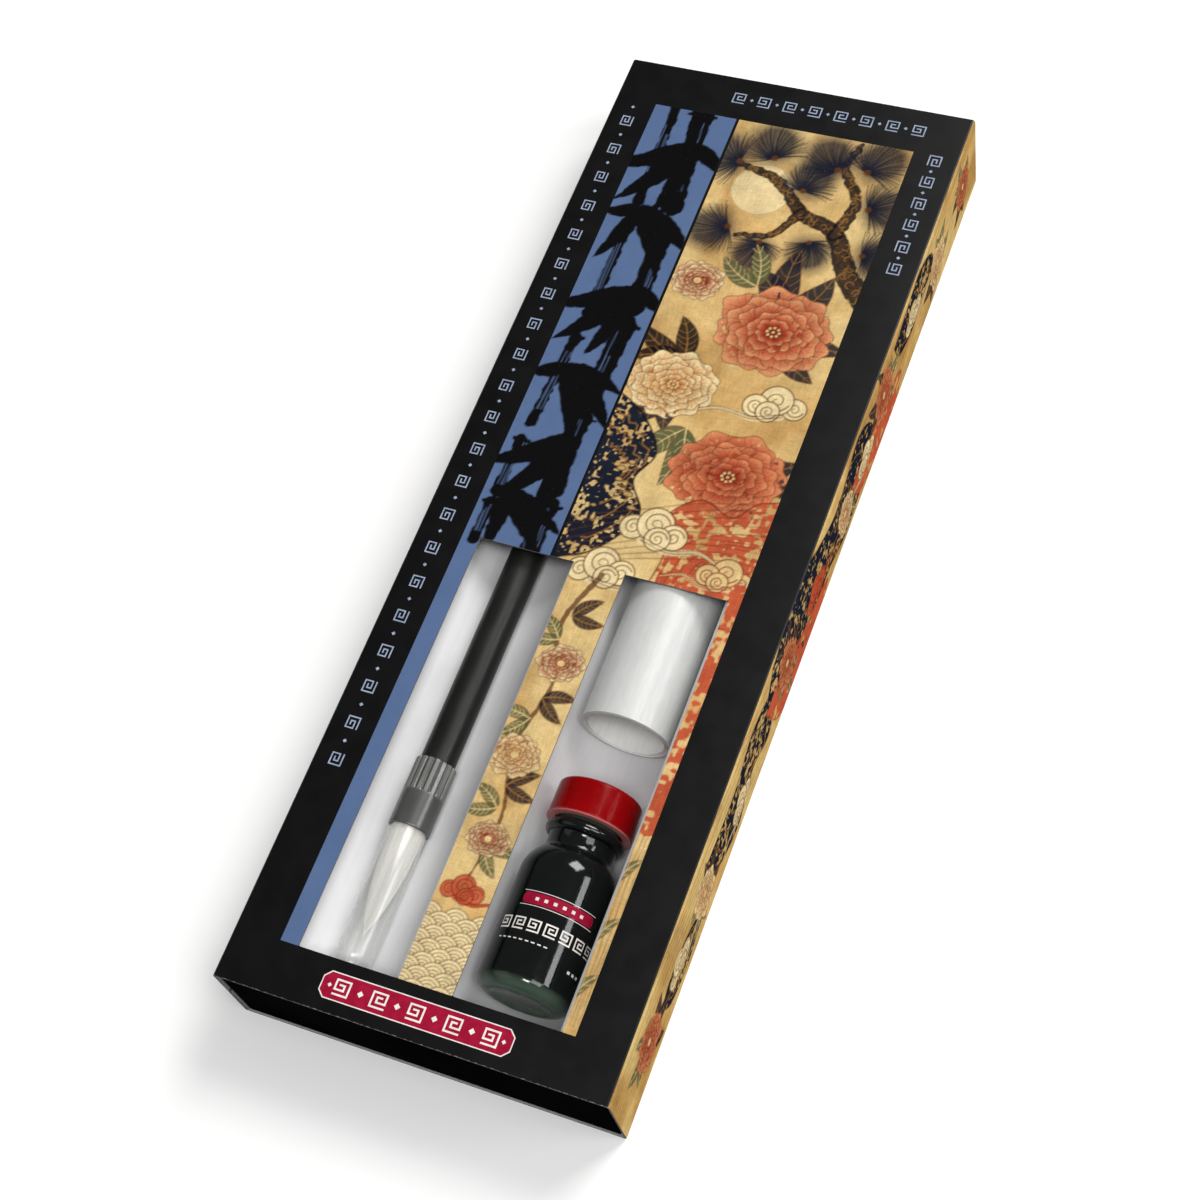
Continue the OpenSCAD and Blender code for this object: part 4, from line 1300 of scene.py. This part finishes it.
def skirt_rings():
    """Level outlines of the skirt round the tray, from its rim down."""
    rings = []
    for a in QUARTER:
        inset = SKIRT_R * (1 - math.sin(a))
        line = rounded_outline(
            tray_low[0] + inset, tray_high[0] - inset, tray_low[1] + inset, tray_high[1] - inset,
            CORNER_R - inset, 8,
        )
        rings.append(level(line, RIM_Z - SKIRT_R * (1 - math.cos(a))))
    return [*rings, level(line, tray_low[2])]


def make_tray():
    """The thermoformed tray: two troughs, a soft rim and a skirt, all of one sheet."""
    brush_floor = span("brush_collar")[0][2] - UNDER_BRUSH
    depth = RIM_Z - brush_floor
    brush_r = (BRUSH_TROUGH_HALF**2 + depth**2) / (2 * depth)
    troughs = [
        trough_rings(BRUSH_AXIS[0], brush_r, brush_floor),
        trough_rings(BOTTLE_AXIS[0], BOTTLE_TROUGH_R, tray_low[2] + SHEET_T),
    ]
    skirt, parts = skirt_rings(), []
    for rings in troughs:
        parts += [skin(rings, close_cols=True), (rings[-1], [range(len(rings[-1]))])]
    parts.append(skin(skirt, close_cols=True))
    parts.append(flat_with_holes([rings[0][:, :2] for rings in (skirt, *troughs)], RIM_Z))
    tray = make_piece(
        "formed_tray", *joined(*parts), FORMED_WHITE, "drawer", "formed_sheet", ["insert_tray"], angle=50.0
    )
    rim = [face.normal[2] for face in tray.data.polygons if abs(face.center[2] - RIM_Z * MM) < 1e-6]
    if sum(rim) < 0:
        tray.data.flip_normals()
    wall = tray.modifiers.new("sheet", "SOLIDIFY")
    wall.thickness, wall.offset = SHEET_T * MM, -1.0


make_tray()


# Ink bottle and cap

def thread_ridge(root, crest, start, turns):
    """A ridge wound round the bottle's axis: a rounded section on a helix, thin at both ends."""
    steps = int(56 * turns)
    a = np.linspace(0, 2 * math.pi * turns, steps + 1)[:, None]
    from_end = np.minimum(np.arange(steps + 1), np.arange(steps, -1, -1))
    fade = np.clip(from_end / 10.0, 0.06, 1)[:, None]
    out, along = np.array([(0.0, -0.62), (0.62, -0.3), (1.0, 0.0), (0.62, 0.3), (0.0, 0.62)]).T
    sunk = -0.05 if crest > root else 0.05
    r = root + sunk + (crest - root - sunk) * out * fade
    h = start + THREAD_PITCH * a / (2 * math.pi) + along * (0.4 + 0.6 * fade)
    ridge = around(BOTTLE_AXIS, r * np.sin(a), BOTTLE_Y + h, r * np.cos(a))
    points, faces = skin(ridge, close_cols=True)
    count = len(out)
    return points, [*faces, range(count), range(steps * count, (steps + 1) * count)]


def make_bottle():
    """The glass: punt, rounded heel, straight wall, round shoulder, bead and threaded finish. Its
    base and its finish are marked as thin, where light comes through."""
    shoulder, fillet, heel, neck = 8.5, 2.0, 3.5, 8.4
    middle = (BOTTLE_R - shoulder, 30.4)
    swing = math.degrees(math.acos((neck + fillet - middle[0]) / (shoulder + fillet)))
    hollow = away(middle, swing, shoulder + fillet)
    bead_h = CAP_Y - 2.4
    outside = np.concatenate([
        [(0, 0.9), (2.5, 0.86), (5.0, 0.7), (6.6, 0.4)],
        [(7.2, 0.12), (7.6, 0.0), (8.2, 0.0)],
        arc((BOTTLE_R - heel, heel), heel, -86, 0, 14),
        arc(middle, shoulder, 0, swing, 16),
        arc(hollow, fillet, 180 + swing, 180, 10),
        [(neck, bead_h - 1.75)],
        arc((neck + 0.1, bead_h), 1.5, -88, 88, 14),
        [(FINISH_R + 0.15, bead_h + 1.65), (FINISH_R, bead_h + 2.0), (FINISH_R, GLASS_H - 0.7)],
        arc((FINISH_R - 0.6, GLASS_H - 0.6), 0.6, 0, 90, 6),
        arc((BORE_R + 0.4, GLASS_H - 0.4), 0.4, 90, 180, 5),
        [(BORE_R, hollow[1] + 1.5), (7.3, hollow[1] - 1.0), (8.8, 35.4), (10.1, 32.8), (10.6, 30.0)],
        [(10.6, 6.0), (9.6, 3.9), (7.5, 3.2), (0, 3.1)],
    ])
    body = turned(outside, BOTTLE_AXIS, BOTTLE_Y, 128)
    ridge = thread_ridge(FINISH_R, 8.55, bead_h + 3.4, 1.3)
    bottle = make_piece(
        "bottle_glass", *joined(body, ridge), GLASS, "drawer", "dark_glass", ["ink_bottle"], angle=40.0
    )
    r, y = places(bottle, BOTTLE_AXIS)
    h = y - BOTTLE_Y
    base = np.clip(1.25 - (h - 0.4) / 2.4, 0, 1) * np.clip(0.45 + r / 11.0, 0, 1)
    ring = np.exp(-((r - 7.9) / 0.5) ** 2) * (h < 1.0)
    finish = np.clip((h - CAP_Y + 0.8) / 0.8, 0, 1)
    mark(bottle, "thin", np.clip(base * (1 - 0.7 * ring) + finish * 0.9, 0, 1))


def make_cap():
    """The screw cap: round top edge, a slight foot, and a thread inside."""
    side, bore, top = CAP_R - 0.15, 8.7, CAP_H - 1.2
    foot = [(bore, 0.0), (CAP_R, 0.0), (CAP_R, 0.55), (side, 0.8), (side - 0.06, CAP_H - 0.9)]
    loop = np.concatenate([
        softened(foot, (0.18, 0.2, 0.2))[:-1],
        arc((side - 1.06, CAP_H - 1.0), 1.0, 0, 90, 10),
        [(side - 1.6, CAP_H), (0, CAP_H), (0, top), (bore, top)],
    ])
    shell = turned(loop, BOTTLE_AXIS, BOTTLE_Y + CAP_Y, 128, closed=True)
    ridge = thread_ridge(bore, 8.1, CAP_Y + 1.0, 1.6)
    cap = make_piece(
        "screw_cap", *joined(shell, ridge), RED_CAP, "cap", "red_cap", ["bottle_cap"], angle=40.0
    )
    height = places(cap, BOTTLE_AXIS)[1] - BOTTLE_Y - CAP_Y
    mark(cap, "foot", np.clip((0.3 - height) / 0.2, 0, 1) * 0.8)


def on_glass(s0, s1, h0, h1, lift=0.02, corner=0.0):
    """A patch on the glass: s runs round it in millimetres from its top line, h from its base."""
    s = np.linspace(s0, s1, max(3, int((s1 - s0) / 0.4)))
    past = (np.abs(s - (s0 + s1) / 2) - (s1 - s0) / 2 + corner).clip(0) / max(corner, 1e-6)
    inset = corner * (1 - np.sqrt(np.clip(1 - past**2, 0, 1)))
    a, r = s / BOTTLE_R, BOTTLE_R + lift
    return skin([
        around(BOTTLE_AXIS, r * np.sin(a), BOTTLE_Y + h, r * np.cos(a)) for h in (h0 + inset, h1 - inset)
    ])


def make_bottle_print():
    """Plain print on the glass: a crimson bar with pale dots between two pale lines, a row of key
    patterns and two rows of dashes."""
    bar = on_glass(-5.6, 13.6, 20.2, 23.0, corner=1.0)
    pale = [on_glass(-5.9, 13.9, 19.75, 19.9), on_glass(-5.9, 13.9, 23.3, 23.45)]
    for k in range(-2, 6):
        s, h = 4.05 * k, 15.2
        for x0, x1, y0, y1 in fret_bars(2.7, 0.38, k % 2 == 0):
            pale.append(on_glass(s + x0, s + x1, h + y0, h + y1))
    pale += [on_glass(1.55 * k - 8.6, 1.55 * k - 7.7, 11.2, 11.5) for k in range(9)]
    pale += [on_glass(s, s + 0.9, 8.2, 8.9) for s in (11.6, 13.2, 14.8)]
    for k in range(6):
        s = 2.3 * (k - 2.5) + 4.0
        pale.append(on_glass(s - 0.45, s + 0.45, 21.2, 22.0, 0.03))
    make_piece("bottle_bar", *bar, CRIMSON_INK, "drawer", "dark_glass", weld=False)
    make_piece("bottle_lines", *joined(*pale), PALE_INK, "drawer", "dark_glass", weld=False)


make_bottle()
make_cap()
make_bottle_print()


# Roll of paper

def make_roll():
    """The rolled sheets: one strip whose radius grows evenly with the angle over six turns, a little loose,
    its edges out of line at the near end. The faces that look inwards have a paler copy of the paper, a
    painted light that brightens the shaded inside of the roll."""
    low, high = span("paper_roll")
    axis, length = (BOTTLE_AXIS[0], (low[2] + high[2]) / 2), high[1] - low[1]
    r_out, r_first, turns, per_turn, sheet = 11.78, 9.78, 6, 64, 0.22
    pitch = (r_out - sheet - r_first) / turns
    a = 2 * math.pi * np.arange(turns * per_turn + 1) / per_turn
    facing = a + math.radians(-60.0)
    shifts = np.random.default_rng(4).uniform(0, 0.5, turns + 2)
    step = np.interp(np.arange(len(a)) / per_turn, np.arange(turns + 2), shifts)
    stations = [0.0, 0.15, *np.linspace(2.0, length - 2.0, 9), length - 0.15, length]
    rings = []
    for n, y in enumerate(stations):
        loose = 1 + 0.006 * np.cos(2 * a + 0.02 * y)
        inner = (r_first + pitch * a / (2 * math.pi)) * loose
        outside, inside = (
            around(axis, r * np.cos(facing), low[1] + y + step * (n < 2), r * np.sin(facing))
            for r in (np.minimum(inner + sheet, r_out), np.minimum(inner, r_out))
        )
        rings.append(np.concatenate([outside, inside[::-1]]))
    points, faces = skin(rings, close_cols=True)
    half, count, last = len(a), len(rings[0]), len(rings) - 1
    # the inward faces take the paler copy of the paper, as painted light
    kinds = np.tile(np.arange(count) >= half, last)
    k = np.arange(half - 1)
    edge = np.stack([k, k + 1, count - 2 - k, count - 1 - k], -1)
    faces = np.concatenate([faces, edge, edge + last * count])
    make_piece(
        "rolled_sheets", points, faces, [ROLL_PAPER, ROLL_INSIDE_PAINTED_LIGHT], "drawer", "rolled_paper",
        ["paper_roll"], angle=45.0, kinds=np.pad(kinds, (0, 2 * len(edge))),
    )


make_roll()


# Brush

def make_handle():
    """The black handle: a long tube with a bevelled front, a tenon and soft edges."""
    r, near, length = lying("brush_handle")[1:]
    bore, tenon_r, tenon = 2.8, 3.93, 5.4
    corners = [
        (bore, 0.0), (tenon_r, 0.0), (tenon_r, tenon), (r, tenon), (r, length), (bore, length), (bore, 0.0)
    ]
    loop = softened(corners, (0.25, 0.0, 0.35, 0.12, 0.0))[:-1]
    make_piece(
        "handle_tube", *turned(loop, BRUSH_AXIS, near, closed=True),
        HANDLE_BLACK, "drawer", "black_handle", ["brush_handle"], angle=40.0,
    )


def make_collar():
    """The smoky collar: its radius less a clipped cosine of the angle, as flutes, in its upper part, a
    smooth socket below, bored through. Its ribs are marked for a painted highlight, so that the grooves can
    carry painted shade."""
    flutes, socket, fluted = 18, 7.0, COLLAR_L - 8.6
    heights = np.concatenate([
        [0.0, 0.08, 0.25, 0.5], np.linspace(1.0, fluted - 0.9, 8),
        np.linspace(fluted - 0.6, fluted + 0.4, 6),
        np.linspace(fluted + 1.0, COLLAR_L - 0.6, 7), [COLLAR_L - 0.3, COLLAR_L - 0.1, COLLAR_L],
    ])
    angle = np.linspace(0, 2 * math.pi, flutes * 12, endpoint=False)
    from_end = np.minimum(heights, COLLAR_L - heights)
    bevel = 0.3 - np.sqrt(np.clip(0.09 - np.clip(0.3 - from_end, 0, 0.3) ** 2, 0, 1))
    deep = np.clip((heights - (fluted - 0.4)) / 0.8, 0, 1)
    deep = deep * deep * (3 - 2 * deep)
    wave = np.clip(np.cos(flutes * angle) * 1.3 - 0.1, 0, 1) * 0.36
    outer = COLLAR_R - bevel[:, None] - deep[:, None] * wave
    bore = np.array([(4.8, 0.02), (4.75, 0.35), (4.75, socket), (4.0, socket), (4.0, COLLAR_L)])
    r = np.concatenate([np.tile(bore[:, :1], len(angle)), outer[::-1]])
    h = np.concatenate([bore[:, 1], heights[::-1]])[:, None]
    rings = around(BRUSH_AXIS, r * np.cos(angle), COLLAR_Y + h, r * np.sin(angle))
    collar = make_piece(
        "fluted_collar", *skin(rings, True, True), SMOKY, "drawer", "smoky_plastic", ["brush_collar"],
        angle=50.0,
    )
    # rib mark: high on the flutes' crests as a painted highlight, low in the grooves as painted shade, and
    # low round the socket and in the bore
    r, y = places(collar, BRUSH_AXIS)
    upper = np.clip((y - COLLAR_Y - (fluted - 0.6)) / 0.8, 0, 1)
    crest = np.clip(1 - (COLLAR_R - r) / 0.3, 0, 1)
    mark(collar, "rib", 0.2 + upper * (0.8 * crest - 0.2 * (r < COLLAR_R - 0.3)))


def make_guard():
    """The clear guard: a thin tube with a round closed end."""
    r, near, length = lying("hair_guard")[1:]
    wall, end = 0.35, 3.5
    profile = np.concatenate([
        [(0, 0)], arc((r - end, end), end, -88, 0, 16),
        [(r, length * 0.5), (r, length - 0.12), (r - 0.12, length)],
        [(r - wall + 0.08, length), (r - wall, length - 0.1), (r - wall, length * 0.5)],
        arc((r - end, end), end - wall, 0, -88, 16), [(0, wall)],
    ])
    make_piece(
        "clear_guard_tube", *turned(profile, BRUSH_AXIS, near),
        CLEAR_GUARD, "guard", "clear_guard", ["hair_guard"], angle=50.0,
    )


def make_tuft():
    """The tuft: strands set by the golden angle at the root of their share of its radius. Each bulges
    a little by a sine of its height, is drawn in to the tip by a power of it, and tapers."""
    count, slice_t, root_r, widest = 2600, 0.8, 3.92, 4.2
    low, high = span("brush_hair")
    top, length = high[1] - slice_t, high[1] - low[1] - slice_t
    rng = np.random.default_rng(9)
    n = np.arange(count)[:, None]
    share = np.sqrt((n + 0.5) / count)
    turn = n * math.radians(137.508)
    reach = length * (1 - 0.1 * share**2) * rng.uniform(0.95, 1.0, (count, 1))
    reach[:8] = length
    stops = np.array([0.0, 0.18, 0.38, 0.58, 0.76, 0.9, 1.0])
    h = stops * reach
    t = h / length
    sway = rng.normal(0, 0.05, (count, 2))[:, None, :] * (t * (1.15 - t))[..., None] * 2.2
    from_axis = (root_r - 0.12) * share * (1 - t**3.4) * (1 + 0.12 * np.sin(math.pi * t**0.8))
    half = 0.062 * (1 - stops**1.6) + 0.004
    x = from_axis * np.cos(turn) + sway[..., 0]
    z = from_axis * np.sin(turn) + sway[..., 1]
    inwards = np.minimum(1, (widest - half) / np.maximum(np.hypot(x, z), 1e-6))
    corner = turn[..., None] + np.radians([0, 120, 240])
    x = (x * inwards)[..., None] + half[:, None] * np.cos(corner)
    z = (z * inwards)[..., None] + half[:, None] * np.sin(corner)
    strands = around(BRUSH_AXIS, x, top - h[..., None], z).reshape(-1, 3)

    each = 3 * len(stops)
    first = (np.arange(count) * each)[:, None, None]
    sides = (grid_faces(len(stops), 3, close_cols=True) + first).reshape(-1, 4)
    caps = (np.array([[2, 1, 0], [each - 3, each - 2, each - 1]]) + first).reshape(-1, 3)
    root = turned([(0, 0), (root_r, 0), (root_r, slice_t), (0, slice_t)], BRUSH_AXIS, top, 48)
    tuft = make_piece(
        "goat_hair_tuft", *joined((strands, [*sides, *caps]), root), HAIR, "drawer", "hair",
        ["brush_hair"], weld=False, angle=60.0,
    )
    after = (0, len(root[0]))
    mark(tuft, "strand", np.pad(np.repeat(rng.random(count), each), after))
    mark(tuft, "along", np.pad(np.tile(np.repeat(stops, 3), count), after))


make_handle()
make_collar()
make_guard()
make_tuft()


# Finishes of the CAD nodes that show as they are

for node, finish in (
    ("window_film", FILM), ("drawer_card", DRAWER_BLACK), ("ink", INK), ("cap_liner", LINER),
    ("handle_plug", HANDLE_BLACK), ("tuft_plug", RESIN),
):
    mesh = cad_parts[node].data
    mesh.materials.clear()
    mesh.materials.append(finish.material)


# Floor and light

LIGHTS_AWAY = 4.2
POWER_AWAY = 1.8


def make_floor():
    """A plain white floor under the box, six metres square."""
    finish = speckled("white_floor", (0.93, 0.93, 0.93), (0.95, 0.95, 0.95), 3.0, Roughness=0.7)
    mesh = bpy.data.meshes.new("floor")
    mesh.from_pydata([(-3, -3, 0), (3, -3, 0), (3, 3, 0), (-3, 3, 0)], [], [(0, 1, 2, 3)])
    mesh.materials.append(finish.material)
    floor = bpy.data.objects.new("floor", mesh)
    bpy.context.scene.collection.objects.link(floor)


def add_softbox(name, turn, rise, size, power, colour):
    """A square softbox at a turn and a rise in degrees, facing the box. Size is a share of its
    distance, and power is what the box gets from 1.8 m away, in watts."""
    turn, rise = math.radians(turn), math.radians(rise)
    flat = LIGHTS_AWAY * math.cos(rise)
    place = np.array([flat * math.cos(turn), flat * math.sin(turn), LIGHTS_AWAY * math.sin(rise)])
    back = place / np.linalg.norm(place)
    side = np.cross((0, 1, 0) if abs(back[2]) > 0.9 else (0, 0, 1), back)
    light = bpy.data.lights.new(name, "AREA")
    light.size, light.color = size * LIGHTS_AWAY, colour
    light.energy = power * (LIGHTS_AWAY / POWER_AWAY) ** 2
    put(name, light, back, side / np.linalg.norm(side), place)


def light_scene():
    """Soft studio light: a white surround and five softboxes."""
    scene = bpy.context.scene
    scene.world = bpy.data.worlds.new("surround")
    # the surround lights the box softly and is seen itself as a pale backdrop
    surround = Nodes(scene.world)
    seen = surround.node("ShaderNodeLightPath", out="Is Camera Ray")
    strength = surround.node("ShaderNodeMapRange", None, {"Value": seen, "To Min": 0.13, "To Max": 0.95})
    ground = surround.tree.nodes["Background"]
    surround.give(ground.inputs["Color"], (1.0, 1.0, 1.0))
    surround.give(ground.inputs["Strength"], strength)
    add_softbox("key", 64, 45, 0.444, 23.5, (1.0, 0.99, 0.97))
    add_softbox("right", -12, 54, 0.444, 10.0, (1.0, 0.99, 0.98))
    add_softbox("over_camera", -60, 68, 0.25, 12.5, (1.0, 1.0, 1.0))
    add_softbox("left", 205, 40, 0.667, 2.0, (0.97, 0.98, 1.0))
    add_softbox("streak", 15, 30, 0.278, 6.0, (0.97, 0.99, 1.0))
    scene.view_settings.view_transform = "Standard"
    # the film and the guard's two walls are passed on the way in and again on the way to a lamp
    scene.cycles.transparent_max_bounces = 24


make_floor()
light_scene()
